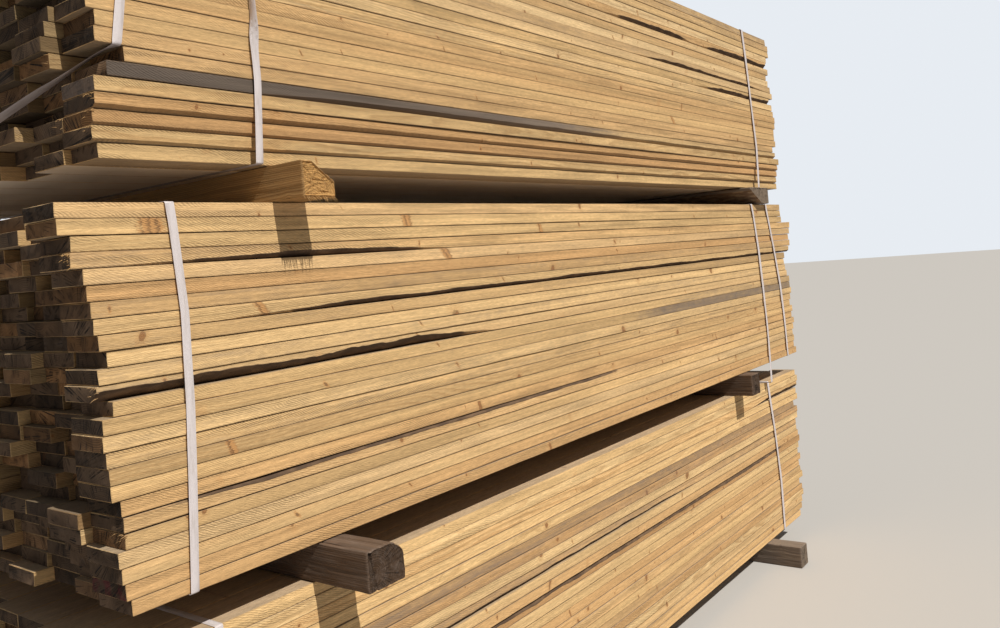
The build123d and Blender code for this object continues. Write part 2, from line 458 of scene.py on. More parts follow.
saw_group, saw_in, saw_out = new_group(
    "Saw Marks",
    [("Grain", "vector", None), ("Pitch", "value", 0.0042), ("Slant", "value", 0.30)],
    [("Ridges", "value"), ("Patches", "value")],
)
tree = saw_group
along, across, up = parts_of(tree, saw_in["Grain"])
own_number = board_number(tree, along)
slant = times_plus(tree, dice(tree, own_number, 5.2), 0.38, saw_in["Slant"])
turned = times_plus(tree, slant, along, plus(tree, up, across))
shaking = streaky(tree, saw_in["Grain"], (24.0, 60.0, 60.0), 3.0)
shaken = times_plus(tree, shaking, 0.012, turned)
stroke = times(tree, divide(tree, shaken, saw_in["Pitch"]), 2 * math.pi)
ridges = times_plus(tree, calc(tree, "SINE", stroke), 0.5, 0.5)
depth = times_plus(tree, dice(tree, own_number, 9.4), 0.8, 0.2)
patches = span(tree, streaky(tree, saw_in["Grain"], (5.0, 60.0, 60.0), 2.0), 0.36, 0.62)
patches = times(tree, patches, depth)
join(tree, patches, saw_out["Patches"])
join(tree, times(tree, ridges, patches), saw_out["Ridges"])

# %% [markdown]
# ## Weather
# Wood that has stood out turns grey, first where rain runs and along the fibres. The group
# takes any wood colour and a share of greying, breaks that share up with streaks and spots,
# and mixes in a grey that keeps some of the wood's light and dark.

# %% Weather group
weather_group, weather_in, weather_out = new_group(
    "Weathering",
    [
        ("Colour", "colour", (0.5, 0.35, 0.2, 1)), ("Grain", "vector", None), ("Greying", "value", 0.0),
        ("Late Wood", "value", 0.0),
    ],
    [("Colour", "colour"), ("Grey", "value")],
)
tree = weather_group
long_streaks = streaky(tree, weather_in["Grain"], (3.0, 190.0, 190.0), 4.0, 0.65)
spots = streaky(tree, weather_in["Grain"], (24.0, 60.0, 60.0), 3.0, 0.6)
uneven = plus(tree, times(tree, long_streaks, 0.6), times(tree, spots, 0.4))
edge_of_grey = times_plus(tree, weather_in["Greying"], 1.5, -0.25)
grey = span(tree, plus(tree, minus(tree, uneven, 0.5), edge_of_grey), 0.0, 0.62)
grey = times(tree, grey, span(tree, weather_in["Greying"], 0.0, 0.06))
join(tree, grey, weather_out["Grey"])
old_wood = tint(tree, long_streaks, (0.096, 0.074, 0.064, 1), (0.285, 0.228, 0.188, 1))
old_lines = times(tree, weather_in["Late Wood"], 0.35)
old_wood = tint(tree, old_lines, old_wood, (0.10, 0.078, 0.060, 1))
weathered = tint(tree, times(tree, grey, 0.88), weather_in["Colour"], old_wood)
join(tree, weathered, weather_out["Colour"])

# %% [markdown]
# ## Sawn pine
# The long faces of the boards: pale yellow sapwood, redder heartwood near the pith, darker
# lines of late wood, brown knots with a warm halo, saw marks, and on some boards wane, which is
# the brown skin of the log where the saw missed. Each board carries its own tone, warmth and
# greying, so that no two neighbours are quite alike. The broad faces have lain in dust and rain
# and are duller than the freshly sawn edges; their grey is partly dust and partly painted shade.
# Near the ends the hidden faces are darkened as painted shade. Only inside the upper gap are the
# broad faces pale, as painted light that fills the gap. The rounded edges along the joints are
# darkened, as dirt and painted shade.

# %% Sawn pine material
def new_material(name, specular=0.5):
    """A material with only its output and its Principled shader."""
    material = bpy.data.materials.new(name)
    material.use_nodes = True
    shader = material.node_tree.nodes["Principled BSDF"]
    shader.inputs["Specular IOR Level"].default_value = specular
    return material, material.node_tree, shader


def bark_noise_of(tree, grain):
    """The unevenness of bark."""
    return streaky(tree, grain, (22.0, 60.0, 60.0), 4.0, 0.6)


def relief(tree, shader, layers):
    """Bump nodes in a chain, each with its height, depth in metres and strength."""
    normal = None
    for height, depth, strength in layers:
        bump = tree.nodes.new("ShaderNodeBump")
        bump.inputs["Distance"].default_value = depth
        bump.inputs["Strength"].default_value = strength
        join(tree, height, bump.inputs["Height"])
        if normal:
            tree.links.new(normal, bump.inputs["Normal"])
        normal = bump.outputs["Normal"]
    tree.links.new(normal, shader.inputs["Normal"])


def branch_scars(tree, colour, grain, flecks):
    """Lays four scars over a colour: two that a board may have been given, and two that are diced."""
    place_x, _, place_up = parts_of(tree, grain)
    own_number = board_number(tree, place_x)
    board_middle = parts_of(tree, attribute(tree, "scar"))[2]
    scar_rise = minus(tree, place_up, board_middle)
    scar_places = [(*parts_of(tree, attribute(tree, key))[:2], None) for key in ("scar", "second_scar")]
    for number, pace in enumerate((0.53, 0.83)):
        cell = calc(tree, "FLOOR", divide(tree, place_x, pace))
        jitter = times_plus(tree, dice(tree, cell, 31.7 + number), 0.7, 0.15)
        size = times_plus(tree, dice(tree, cell, 47.1 + number), 0.026, -0.0195)
        side_step = times_plus(tree, dice(tree, cell, 71.3 + number), 0.018, -0.009)
        scar_places.append((times(tree, plus(tree, cell, jitter), pace), size, side_step))
    for number, (scar_x, scar_size, side_step) in enumerate(scar_places):
        lean = times_plus(tree, dice(tree, own_number, 60.3 + number), 0.9, 0.05)
        scar_along = times_plus(tree, scar_rise, lean, minus(tree, place_x, scar_x))
        gap = divide(tree, calc(tree, "ABSOLUTE", scar_along), calc(tree, "MAXIMUM", scar_size, 0.0001))
        if side_step:
            reach = divide(tree, minus(tree, scar_rise, side_step), 0.0085)
            gap = calc(tree, "SQRT", times_plus(tree, gap, gap, times(tree, reach, reach)))
        gap = plus(tree, gap, times(tree, minus(tree, flecks, 0.5), 2.2))
        gap = plus(tree, gap, span(tree, scar_size, 0.001, 0.0025, 9.0, 0.0))
        here = span(tree, gap, 0.55, 1.15, 1.0, 0.0)
        lines = times_plus(tree, flecks, 2.2, divide(tree, scar_along, 0.0145))
        lines = calc(tree, "FRACT", lines)
        if side_step:
            lines = span(tree, gap, 0.15, 0.95, 1.0, 0.0)
        wood = ramp(tree, lines, 0.40, 0.95, (0.52, 0.26, 0.092, 1), (0.150, 0.066, 0.026, 1))
        colour = tint(tree, times(tree, here, 0.72 if number > 1 else 0.82), colour, wood)
    return colour


def dust_and_painted_light(tree, colour, flecks, tone):
    """Lays dust and painted shade on broad faces, painted light in the gap and painted shade near the ends.
    """
    facing = tree.nodes.new("ShaderNodeNewGeometry")
    broad = span(tree, calc(tree, "ABSOLUTE", parts_of(tree, facing.outputs["True Normal"])[2]), 0.80, 0.95)
    # The broad faces are greyer and duller: dust, and painted shade on the faces hidden between rows.
    dust_and_shade_colour = ramp(tree, flecks, 0.3, 0.7, (0.330, 0.265, 0.195, 1), (0.480, 0.395, 0.300, 1))
    # Inside the upper gap the broad faces are pale: painted light that fills the gap.
    painted_gap_light = attribute(tree, "painted_gap_light", "Fac")
    dust_and_shade_colour = tint(tree, painted_gap_light, stretch_by(tree, dust_and_shade_colour, tone), (0.90, 0.76, 0.60, 1))
    dust_and_shade_share = span(tree, painted_gap_light, 0.0, 1.0, 0.62, 0.95)
    colour = tint(tree, times(tree, broad, dust_and_shade_share), colour, dust_and_shade_colour)
    # Near the ends the broad faces, and the edges of hidden boards, are darkened as painted shade.
    painted_shade = attribute(tree, "painted_shade", "Fac")
    painted_shade_on_edge = calc(tree, "SUBTRACT", painted_shade, 1.0, clamp=True)
    painted_shade_on_face = calc(tree, "MULTIPLY", painted_shade, 1.0, clamp=True)
    painted_shade = parts_of(tree, tint(tree, broad, painted_shade_on_edge, painted_shade_on_face))[0]
    painted_shade_factor = times_plus(tree, painted_shade, -0.17, 1.0)
    return stretch_by(tree, colour, painted_shade_factor)


pine, tree, shader = new_material("sawn_pine", 0.28)
grain = attribute(tree, "grain")
tone, warmth, greying = parts_of(tree, attribute(tree, "look"))
knots = use_group(tree, knots_group, Grain=grain)
rings = use_group(tree, rings_group, Grain=grain, Bend=knots["Bend"])
saw = use_group(tree, saw_group, Grain=grain)
sapwood, heartwood = (0.760, 0.510, 0.235, 1), (0.690, 0.420, 0.185, 1)
warm_wood, pale_wood = (0.660, 0.355, 0.145, 1), (0.790, 0.600, 0.330, 1)
late_wood = (0.400, 0.200, 0.068, 1)
heart = span(tree, rings["Radius"], 0.030, 0.075, 1.0, 0.0)
colour = tint(tree, times(tree, heart, 0.75), sapwood, heartwood)
colour = ramp(tree, warmth, 0.0, 1.0, colour, warm_wood)
colour = ramp(tree, warmth, 0.0, -1.0, colour, pale_wood)
own_number = board_number(tree, parts_of(tree, grain)[0])
ring_strength = times_plus(tree, dice(tree, own_number, 3.1), 0.38, 0.10)
colour = tint(tree, times(tree, rings["Late Wood"], ring_strength), colour, late_wood)
flecks = streaky(tree, grain, (70.0, 300.0, 300.0), 4.0, 0.75)
shade = shade_of(
    tree, (rings["Streaks"], 0.25, 0.75, 0.74, 1.18), (rings["Fibres"], 0.28, 0.72, 0.80, 1.14),
    (saw["Ridges"], 0.0, 1.0, 1.06, 0.66), (flecks, 0.30, 0.70, 0.84, 1.14),
)
colour = stretch_by(tree, colour, times(tree, shade, tone))
knot_halo, knot_edge = (0.46, 0.215, 0.070, 1), (0.085, 0.040, 0.020, 1)
colour = cover(tree, colour, knots["Halo"], 0.30, knot_halo)
knot_rings = calc(tree, "FRACT", times_plus(tree, knots["Distance"], 2.3, rings["Fibres"]))
knot_wood = ramp(tree, knot_rings, 0.1, 0.9, (0.36, 0.165, 0.058, 1), (0.200, 0.088, 0.034, 1))
colour = cover(tree, colour, knots["Knot"], 0.85, knot_wood)
colour = cover(tree, colour, knots["Rim"], 0.45, knot_edge)
colour = branch_scars(tree, colour, grain, flecks)
colour = dust_and_painted_light(tree, colour, flecks, tone)
weather = use_group(
    tree, weather_group, Colour=colour, Grain=grain, Greying=greying, Late_Wood=rings["Late Wood"],
)
darker = span(tree, tone, 0.45, 0.75, 0.55, 1.0)
darker = times(tree, darker, span(tree, saw["Ridges"], 0.2, 1.0, 1.0, 0.86))
colour = tint(tree, weather["Grey"], weather["Colour"], stretch_by(tree, weather["Colour"], darker))
wane = attribute(tree, "wane", "Fac")
bark_noise = bark_noise_of(tree, grain)
bark = ramp(tree, bark_noise, 0.42, 0.70, (0.070, 0.045, 0.030, 1), (0.175, 0.112, 0.066, 1))
ragged_wane = times_plus(tree, minus(tree, bark_noise, 0.5), 0.8, wane)
wane_mask = span(tree, ragged_wane, 0.32, 0.55)
colour = tint(tree, wane_mask, colour, bark)
# The rounded edges along the joints are darkened: dirt and painted shade.
edge_dirt_and_shade = times(tree, attribute(tree, "edge", "Fac"), span(tree, bark_noise, 0.25, 0.6, 0.35, 1.0))
colour = cover(tree, colour, edge_dirt_and_shade, 0.30, (0.190, 0.110, 0.055, 1))
join(tree, colour, shader.inputs["Base Color"])
join(tree, span(tree, rings["Fibres"], 0.2, 0.8, 0.72, 0.92), shader.inputs["Roughness"])
relief(tree, shader, [
    (saw["Ridges"], 0.00060, 1.0),
    (flecks, 0.00090, 1.0),
    (rings["Fibres"], 0.00055, 1.0),
    (times(tree, bark_noise, wane_mask), 0.002, 0.8),
])
print("sawn pine:", len(tree.nodes), "nodes")

# %% [markdown]
# ## Sawn ends
# The end of a board shows the same rings as arcs, crossed by fine checks that run out from the
# pith where the wood has dried. Ends drink up rain and dirt, so they are darker and browner
# than the sides, and their colours are darkened further as painted shade. They differ a lot
# from board to board. One end of the middle package carries the remains of a dab of red paint,
# which is asked for with a greying below nought.

# %% Drying check group and end material
check_group, check_in, check_out = new_group(
    "Drying Checks",
    [("Grain", "vector", None), ("Count", "value", 14.0), ("Width", "value", 0.035)],
    [("Check", "value")],
)
tree = check_group
along, across, up = parts_of(tree, check_in["Grain"])
turn_about = calc(tree, "ARCTAN2", up, across)
turns_counted = times(tree, turn_about, check_in["Count"])
rays = cloud(tree, vector_of(tree, turns_counted, times(tree, along, 0.2), 0.0), 1.0, 2.0, 0.7)
nearness = calc(tree, "ABSOLUTE", minus(tree, rays, 0.5))
breaks = streaky(tree, check_in["Grain"], (3.0, 45.0, 45.0), 2.0)
opening = times(tree, check_in["Width"], span(tree, breaks, 0.42, 0.62))
nearness = divide(tree, nearness, plus(tree, opening, 0.0001))
join(tree, span(tree, nearness, 0.35, 1.0, 1.0, 0.0), check_out["Check"])

sawn_end, tree, shader = new_material("sawn_pine_end", 0.2)
grain = attribute(tree, "grain")
tone, warmth, greying = parts_of(tree, attribute(tree, "end_look"))
knots = use_group(tree, knots_group, Grain=grain)
rings = use_group(tree, rings_group, Grain=grain, Bend=knots["Bend"], Pitch=0.0032)
checks = use_group(tree, check_group, Grain=grain)
marks = use_group(tree, saw_group, Grain=grain, Pitch=0.0035, Slant=0.0)
# The end colours are darker than bare end grain: dirt, and painted shade.
end_heart, end_sapwood = (0.108, 0.068, 0.040, 1), (0.148, 0.096, 0.058, 1)
colour = ramp(tree, rings["Radius"], 0.03, 0.08, end_heart, end_sapwood)
colour = ramp(tree, warmth, 0.45, 1.0, colour, (0.300, 0.155, 0.062, 1))
colour = cover(tree, colour, rings["Late Wood"], 0.6, (0.045, 0.028, 0.017, 1))
blotches = streaky(tree, grain, (1.0, 26.0, 26.0), 4.0, 0.6)
shade = shade_of(tree, (blotches, 0.25, 0.75, 0.62, 1.3), (marks["Ridges"], 0.0, 1.0, 1.0, 0.82))
colour = stretch_by(tree, colour, times(tree, shade, tone))
colour = cover(tree, colour, knots["Knot"], 0.6, (0.10, 0.048, 0.022, 1))
colour = tint(tree, checks["Check"], colour, (0.022, 0.016, 0.012, 1))
paint = times(tree, span(tree, greying, -0.2, -0.8), span(tree, blotches, 0.46, 0.58))
colour = cover(tree, colour, paint, 0.8, (0.120, 0.018, 0.022, 1))
greying = calc(tree, "MAXIMUM", greying, 0.0)
weather = use_group(
    tree, weather_group, Colour=colour, Grain=grain, Greying=greying, Late_Wood=rings["Late Wood"],
)
join(tree, weather["Colour"], shader.inputs["Base Color"])
shader.inputs["Roughness"].default_value = 0.9
relief(tree, shader, [
    (marks["Ridges"], 0.0005, 1.0),
    (rings["Late Wood"], 0.0004, 0.8),
    (minus(tree, 1.0, checks["Check"]), 0.0012, 1.0),
])
print("sawn end:", len(tree.nodes), "nodes")

# %% [markdown]
# ## Reading the boards from the frame
# Each CAD node holds one or two rows of boards as plain bars. The detailed boards are built
# into the same places, so the bars are read first: corners at the same spot are one corner,
# and faces that share corners are one bar. A bar's own axes come from its two ends, because
# two of the packages lie a little askew.

# %% Read the bars
def scatter(number):
    """A steady value from -1 to 1 that is unlike that of the next whole number."""
    wave = np.sin(np.asarray(number, float) * 12.9898) * 43758.5453
    return 2 * (wave - np.floor(wave)) - 1


def wander(places, seed):
    """A slow, smooth walk between -1 and 1, one step for each whole number."""
    whole = np.floor(places)
    part = places - whole
    part = part * part * (3 - 2 * part)
    return (1 - part) * scatter(whole + seed) + part * scatter(whole + 1 + seed)


def with_walks(places, seed, usual, *walks):
    """A usual value with walks added to it. Each has its reach, its paces a metre and its salt."""
    value = usual
    for reach, pace, salt in walks:
        value = value + reach * wander(places * pace, seed + salt)
    return value


def bars_of(node):
    """The bars in a node: near low corner at the strapped side, three axes and three sizes."""
    mesh = node.data
    corners = np.empty(len(mesh.vertices) * 3)
    mesh.vertices.foreach_get("co", corners)
    corners = corners.reshape(-1, 3)
    steps_per_metre = 20000
    spots = np.round(corners * steps_per_metre).astype(np.int64)
    spots, spot_of = np.unique(spots, axis=0, return_inverse=True)
    spot_of = spot_of.ravel()
    joined = list(range(len(spots)))

    def root(spot):
        while joined[spot] != spot:
            joined[spot] = joined[joined[spot]]
            spot = joined[spot]
        return spot

    for face in mesh.polygons:
        ids = [spot_of[i] for i in face.vertices]
        for other in ids[1:]:
            joined[root(other)] = root(ids[0])
    groups = {}
    for spot in range(len(spots)):
        groups.setdefault(root(spot), []).append(spots[spot] / steps_per_metre)
    bars = []
    upright = np.array([0.0, 0.0, 1.0])
    for points in groups.values():
        points = np.array(points)
        middle = points[:, 0].mean()
        near, far = points[points[:, 0] < middle], points[points[:, 0] > middle]
        ahead = far.mean(0) - near.mean(0)
        ahead[2] = 0
        ahead /= np.linalg.norm(ahead)
        sideways = np.cross(upright, ahead)
        axes = np.array([ahead, sideways, upright])
        local = points @ axes.T
        low, high = local.min(0), local.max(0)
        bars.append({
            "corner": low @ axes, "axes": axes, "size": high - low, "side": low[1], "height": low[2],
        })
    bars.sort(key=lambda bar: (round(bar["height"] / 0.005), bar["side"]))
    return bars


boards = []
boards_in_row = 10
for name in sorted(nodes):
    if "package_row" not in name:
        continue
    first_row = int(name.split("_")[3]) - 1
    for number, bar in enumerate(bars_of(nodes[name])):
        bar.update(
            node=name, package=name.split("_")[0],
            row=first_row + number // boards_in_row, column=number % boards_in_row,
        )
        boards.append(bar)
print("boards:", len(boards), "longest", round(max(b["size"][0] for b in boards), 4))

# %% [markdown]
# ## What the photograph shows of single boards
# Most boards differ only by chance, but some are easy to tell: a weathered grey one near the
# bottom of the top package, some with wane that makes a dark gap under them, brown ones in the
# low package, and pale or reddish ones among their neighbours. They are listed by package and
# row, counted from 0 at the bottom, with places in metres from the near end. A tone or greying
# that changes along the board is a list of places and values. Wane is given as its start, its
# end, its width and its height. It may be broken off at one place, and may have lost its bark. A
# scar is where the saw ran along a branch. An end may have a tone, warmth and greying of its own.

# %% Boards that stand out
board_looks = {
    ("middle", 24): {"tone": [(1.6, 1.02), (1.9, 0.88)]},
    ("middle", 23): {
        "tone": [(1.6, 1.02), (1.9, 0.80)], "warmth": 0.1,
        "scar": (0.085, 0.024), "second_scar": (0.678, 0.016),
    },
    ("middle", 21): {
        "tone": 1.06, "warmth": -0.1, "greying": [(0, 0.30), (0.9, 0.1), (3, 0.0)],
        "under": (0.0, 0.80, 0.010, 0.0068),
    },
    ("middle", 22): {"tone": 0.93, "scar": (1.175, 0.010)},
    ("middle", 20): {"tone": [(1.6, 1.14), (1.9, 0.95)], "warmth": -0.4, "scar": (0.796, 0.016)},
    ("middle", 18): {"tone": 0.88, "warmth": 0.35},
    ("middle", 17): {
        "tone": 1.10, "warmth": -0.2, "under": (0.20, 3.6, 0.009, 0.0062), "scar": (0.285, 0.012),
    },
    ("middle", 16): {"tone": [(1.6, 1.0), (1.9, 0.82)], "warmth": 0.2},
    ("middle", 14): {"tone": 1.06, "warmth": -0.2},
    ("middle", 13): {
        "tone": 0.92, "greying": [(0, 0.30), (0.3, 0.1), (3, 0.1)], "under": (-0.60, 0.95, 0.019, 0.0150),
    },
    ("middle", 12): {"tone": 0.88, "warmth": 0, "greying": [(1.6, 0.0), (2.0, 0.3)], "recess": 0.001},
    ("middle", 11): {
        "tone": [(1.6, 0.88), (1.8, 0.74)], "warmth": 0, "greying": [(0, 0.15), (1.6, 0.2), (1.8, 0.45)],
    },
    ("middle", 10): {"tone": 1.10, "warmth": -0.3},
    ("middle", 8): {"tone": [(0.7, 0.84), (1.0, 1.0)], "warmth": 0.25, "scar": (0.200, 0.010)},
    ("middle", 6): {"tone": 1.07, "warmth": -0.1},
    ("middle", 5): {"over": (0.0, 1.6, 0.005, 0.005)},
    ("middle", 4): {"tone": [(1.1, 0.84), (1.4, 1.0)], "warmth": 0.2},
    ("middle", 3): {"tone": 1.10, "warmth": -0.5},
    ("middle", 2): {"tone": 0.90},
    ("middle", 1): {"tone": 0.97, "warmth": 0.25, "end": (0.85, 0, -0.7)},
    ("top", 0): {"tone": 0.95},
    ("top", 1): {"warmth": 0.1, "bark": False, "under": (-0.2, 3.2, 0.006, 0.004)},
    ("top", 2): {
        "tone": [(1.4, 0.84), (2.0, 0.95)], "warmth": 0.6, "bark": False, "under": (-0.2, 3.2, 0.006, 0.004),
    },
    ("top", 3): {
        "tone": [(1.4, 0.84), (2.0, 0.97)], "warmth": 0.55, "bark": False, "under": (-0.2, 3.2, 0.008, 0.006),
    },
    ("top", 4): {"tone": 0.99, "warmth": 0.1, "end": (2.0, 0, 0.45)},
    ("top", 5): {
        "greying": [(0, 1.0), (0.7, 0.95), (1.05, 0.65), (1.5, 0.45), (1.7, 0.20), (3, 0.1)],
        "tone": [(0, 0.60), (0.6, 0.64), (1.1, 0.78), (1.5, 0.95)],
        "bark": False, "under": (0.3, 3.4, 0.010, 0.008),
    },
    ("top", 6): {"tone": 0.96, "warmth": -0.2},
    ("top", 8): {"scar": (2.007, 0.012)},
    ("top", 10): {"tone": 0.90, "warmth": 0.2},
    ("top", 13): {"tone": 1.08, "warmth": -0.4},
    ("top", 14): {"under": (2.2, 3.4, 0.013, 0.013)},
    ("top", 15): {"tone": 1.05, "warmth": -0.5},
    ("top", 16): {"tone": 0.95, "under": (1.75, 2.9, 0.010, 0.008)},
    ("top", 17): {"tone": 1.10, "warmth": -0.6},
    ("top", 18): {"tone": 1.08, "warmth": -0.2},
    ("top", 19): {"tone": 1.15, "warmth": -0.5},
    ("top", 20): {"tone": 1.0, "under": (1.60, 3.4, 0.014, 0.014), "broken": 2.25},
    ("top", 21): {"tone": 1.18, "warmth": -0.6},
    ("top", 22): {"tone": 0.86, "greying": 0.15},
    ("top", 23): {"greying": 0.25},
    ("top", 24): {"tone": 0.86, "greying": [(0, 0.25), (3, 0.35)]},
    ("low", 21): {"under": (2.5, 3.2, 0.012, 0.012)},
    ("low", 18): {"tone": 0.82, "warmth": 0.45, "greying": 0.35},
    ("low", 17): {"tone": 0.86, "warmth": 0.35, "greying": [(0, 0.25), (3, 0.3)]},
    ("low", 15): {"tone": 0.85, "warmth": 0.4, "greying": 0.3, "under": (0.4, 2.0, 0.008, 0.006)},
    ("low", 12): {"tone": 0.75, "warmth": 0.5, "over": (0.3, 2.9, 0.009, 0.009)},
}
print("boards with their own look:", len(board_looks))

# %% [markdown]
# ## Building a board
# A board could be a box with a bevel, but then all joints would be the same thin line. Instead
# each board is lofted: one section, repeated at stations along its length, where the edges are
# a little rounded, the outer face and the top move in and out by parts of a millimetre, and
# wane eats into an edge where the list says so. The two outer columns get many stations and a
# fine section. The boards inside show only their ends, and get few.

# %% Board sections
near_end, side_face = -1.5, 0.509

# How far a package lies along and inwards, and how it is turned
package_lies = {
    "low": (0.030, 0.027, math.radians(-0.1)), "middle": (0, 0, 0), "top": (0, -0.005, math.radians(0.24)),
}


def ring_quads(count, ring, closed=False):
    """The faces between the rings of a swept shape."""
    first = np.arange(count if closed else count - 1)[:, None] * ring
    beyond = (first + ring) % (count * ring)
    here = np.arange(ring)[None]
    there = (here + 1) % ring
    return np.stack([first + here, first + there, beyond + there, beyond + here], 2).reshape(-1, 4).tolist()


def swell(places, start, end):
    """From 0 to 1 and back between two places, with long tapers."""
    taper = min(0.25, 0.3 * (end - start))
    return np.clip((places - start) / taper, 0, 1) * np.clip((end - places) / taper, 0, 1)


def edge_curve(arris, width, height, points, bulge):
    """From the flat face to the upright one: an arris, or wane with a straight or bulging skin."""
    share = np.linspace(0, 1, points)
    turn = share * math.pi / 2
    across = (1 - share) + bulge * (1 - np.sin(turn) - (1 - share))
    down = share + bulge * (1 - np.cos(turn) - share)
    inwards = arris[:, None] * (1 - np.sin(turn)) + width[:, None] * across
    return inwards, arris[:, None] * (1 - np.cos(turn)) + height[:, None] * down


def outer_section(places, width, height, look, seed, ahead):
    """Points of an outer board's section at each place: distance in from its outer face, and
    height. Then how much of each point is wane, and how near it is to an edge."""
    over = look.get("over", (0, 0.1, 0, 0))
    under = look.get("under", (0, 0.1, 0, 0))
    rough = with_walks(places, seed, 1, (0.22, 8, 5), (0.13, 27, 9), (0.06, 75, 10))
    rough = rough if look.get("bark", True) else 1 + 0.4 * (rough - 1)
    over_share = swell(places - ahead, over[0], over[1]) * rough
    under_share = swell(places - ahead, under[0], under[1]) * rough
    under_share *= np.clip(np.abs(places - ahead - look.get("broken", -5)) / 0.16 - 0.25, 0.05, 1)
    arris = with_walks(places, seed, 0.0009, (0.0004, 11, 1), (0.0003, 43, 2))
    low_arris = with_walks(places, seed, 0.0010, (0.0006, 12, 3), (0.0003, 37, 13))
    recess = with_walks(places, seed, 0.0012, (0.0011, 0.8, 4), (0.00018, 7, 6)) + look.get("recess", 0)
    lean = with_walks(places, seed, 0.0005 * scatter(seed + 14), (0.0004, 1.1, 15))
    drop = with_walks(places, seed, 0.0006 + 0.0007 * scatter(seed + 17), (0.0005, 1.7, 7), (0.0002, 9, 16))
    drop = np.maximum(drop, 0.0001)
    lift = with_walks(places, seed, 0.0003, (0.0003, 1.3, 8))
    top_in, top_down = edge_curve(arris, over[2] * over_share, over[3] * over_share, 5, 0.6)
    low_in, low_up = edge_curve(low_arris, under[2] * under_share, under[3] * under_share, 5, 0.1)
    top, low = height - drop, lift
    face_top = top - top_down[:, -1]
    face_low = low + low_up[:, -1]
    cup = with_walks(places, seed, 0, (0.00015, 6, 12))
    ones, none = np.ones_like(places), np.zeros_like(places)
    over_wane = over_share * (over[3] > 0.003)
    under_wane = under_share * (under[3] > 0.003)
    top_face, low_face = recess + lean + 0.0007, recess - lean + 0.0007
    rows = [(0.5 * width * ones, top, none, none)]
    rows += [(top_face + top_in[:, k], top - top_down[:, k], over_wane, ones) for k in range(5)]
    rows += [(top_face + cup, face_top - 0.0012, none, none)]
    rows += [((top_face + low_face) / 2 + cup, (face_top + face_low) / 2, none, none)]
    rows += [(low_face + cup, face_low + 0.0014, none, none)]
    rows += [(low_face + low_in[:, k], low + low_up[:, k], under_wane, ones) for k in range(4, -1, -1)]
    rows += [(0.5 * width * ones, low, none, none)]
    small = 0.0008
    rows += [(ones * (width - small), low, none, none), (ones * width, low + small, none, none)]
    rows += [(ones * width, top - small, none, none), (ones * (width - small), top, none, none)]
    return [np.stack([row[k] for row in rows], 1) for k in range(4)]


def inner_section(places, width, height, seed):
    """Points of a hidden board's section: only its four edges are taken off a little."""
    edge = 0.0008 + 0.0004 * scatter(seed)
    drop = 0.0004 + 0.0004 * scatter(seed + 1)
    across = np.array([edge, 0, 0, edge, width - edge, width, width, width - edge])
    top = height - drop
    up = np.array([top, top - edge, edge, 0, 0, edge, top - edge, top])
    many = np.ones((len(places), 1))
    return many * across, many * up, many * 0 * up, many * 0 * up


def place_stations(length, count):
    """Places along a board, close together at its ends."""
    ends = np.array([0.0, 0.0009, 0.004, 0.012, 0.030])
    middle = np.linspace(0.06, length - 0.06, count)
    return np.concatenate([ends, middle, length - ends[::-1]])


# %% [markdown]
# The loft is then turned into a mesh. Its ends are cut a little out of square, and the last
# millimetre draws in, as a saw leaves it. Every point carries where it was in the log, with the
# pith at the origin across the board, and a start of its own along it, which is all that the
# wood materials need.

# %% Board meshes
outer_columns = (0, boards_in_row - 1)
at_upper_gap = (("middle", 24), ("top", 0))
plain_stations, waney_stations, back_stations = 80, 300, 40
package_tones = {"low": 1.0, "middle": 0.95, "top": 0.91}
# How dark the hidden boards of each package are made, as painted shade, in the rows below.
inner_painted_shade = {"low": 0.66, "middle": 0.66, "top": 0.50}
painted_shade_rows = range(1, 22)
package_seeds = {"low": 1000, "middle": 20000, "top": 40000}


def along_board(values, places):
    """A value at each place along a board, from one number or from a list of places and values."""
    if not isinstance(values, list):
        values = [(0, values)]
    return np.interp(places, [place for place, _ in values], [value for _, value in values])


def lofted(bar, look, seed, ahead):
    """A board's stations, and the points, wane and edges of its section at each of them."""
    length, width, height = bar["size"]
    at_strapped_side = bar["column"] == 0
    if bar["column"] in outer_columns:
        stations = plain_stations if at_strapped_side else back_stations
        if "over" in look or "under" in look:
            stations = waney_stations
        places = place_stations(length, stations)
        across, up, wane, edge = outer_section(places, width, height, look, seed, ahead)
    else:
        from_end = np.array([0, 0.0009, 0.06, 0.16])
        places = np.concatenate([from_end, [length / 2], length - from_end[::-1]])
        across, up, wane, edge = inner_section(places, width, height, seed)
    return places, across if at_strapped_side else width - across, up, wane, edge


def sawn_off(bar, seed, along, across, up):
    """Draws the board's last stations in, and gives the places along it with ends out of square."""
    length, width, height = bar["size"]
    draw_in, reach = 0.0008, 0.05
    frayed = 1 + 0.8 * scatter(seed + np.arange(across.shape[1]) * 1.37)
    for k in (0, -1):
        across[k] += np.sign(width / 2 - across[k]) * draw_in * frayed
        up[k] += np.sign(height / 2 - up[k]) * draw_in * frayed
    out_of_square = 0.0016 * scatter(seed + 21) * (across / width - 0.5)
    out_of_square += 0.0008 * scatter(seed + 22) * (up / height - 0.5)
    out_of_square += np.abs(out_of_square).max()
    near_share = np.clip(1 - along / reach, 0, 1)
    far_share = np.clip(1 - (length - along) / reach, 0, 1)
    return along + near_share * out_of_square - far_share * out_of_square


def in_the_log(bar, look, seed, along, across, up, ahead):
    """Where each point of a board was in the log, and where its two scars are."""
    _, width, height = bar["size"]
    pith_angle = math.pi * scatter(seed + 31)
    pith_reach = 0.055 + 0.035 * scatter(seed + 32)
    pith = (width / 2 + pith_reach * math.cos(pith_angle), height / 2 + pith_reach * math.sin(pith_angle))
    start = 200 + log_step * (seed % 997)
    found = {"grain": np.stack([along + start, across - pith[0], up - pith[1]], 2).reshape(-1, 3)}
    for key in ("scar", "second_scar"):
        scar_x, scar_size = look.get(key, (-50, 0))
        found[key] = np.tile((start + scar_x + ahead, scar_size, height / 2 - pith[1]), (along.size, 1))
    return found


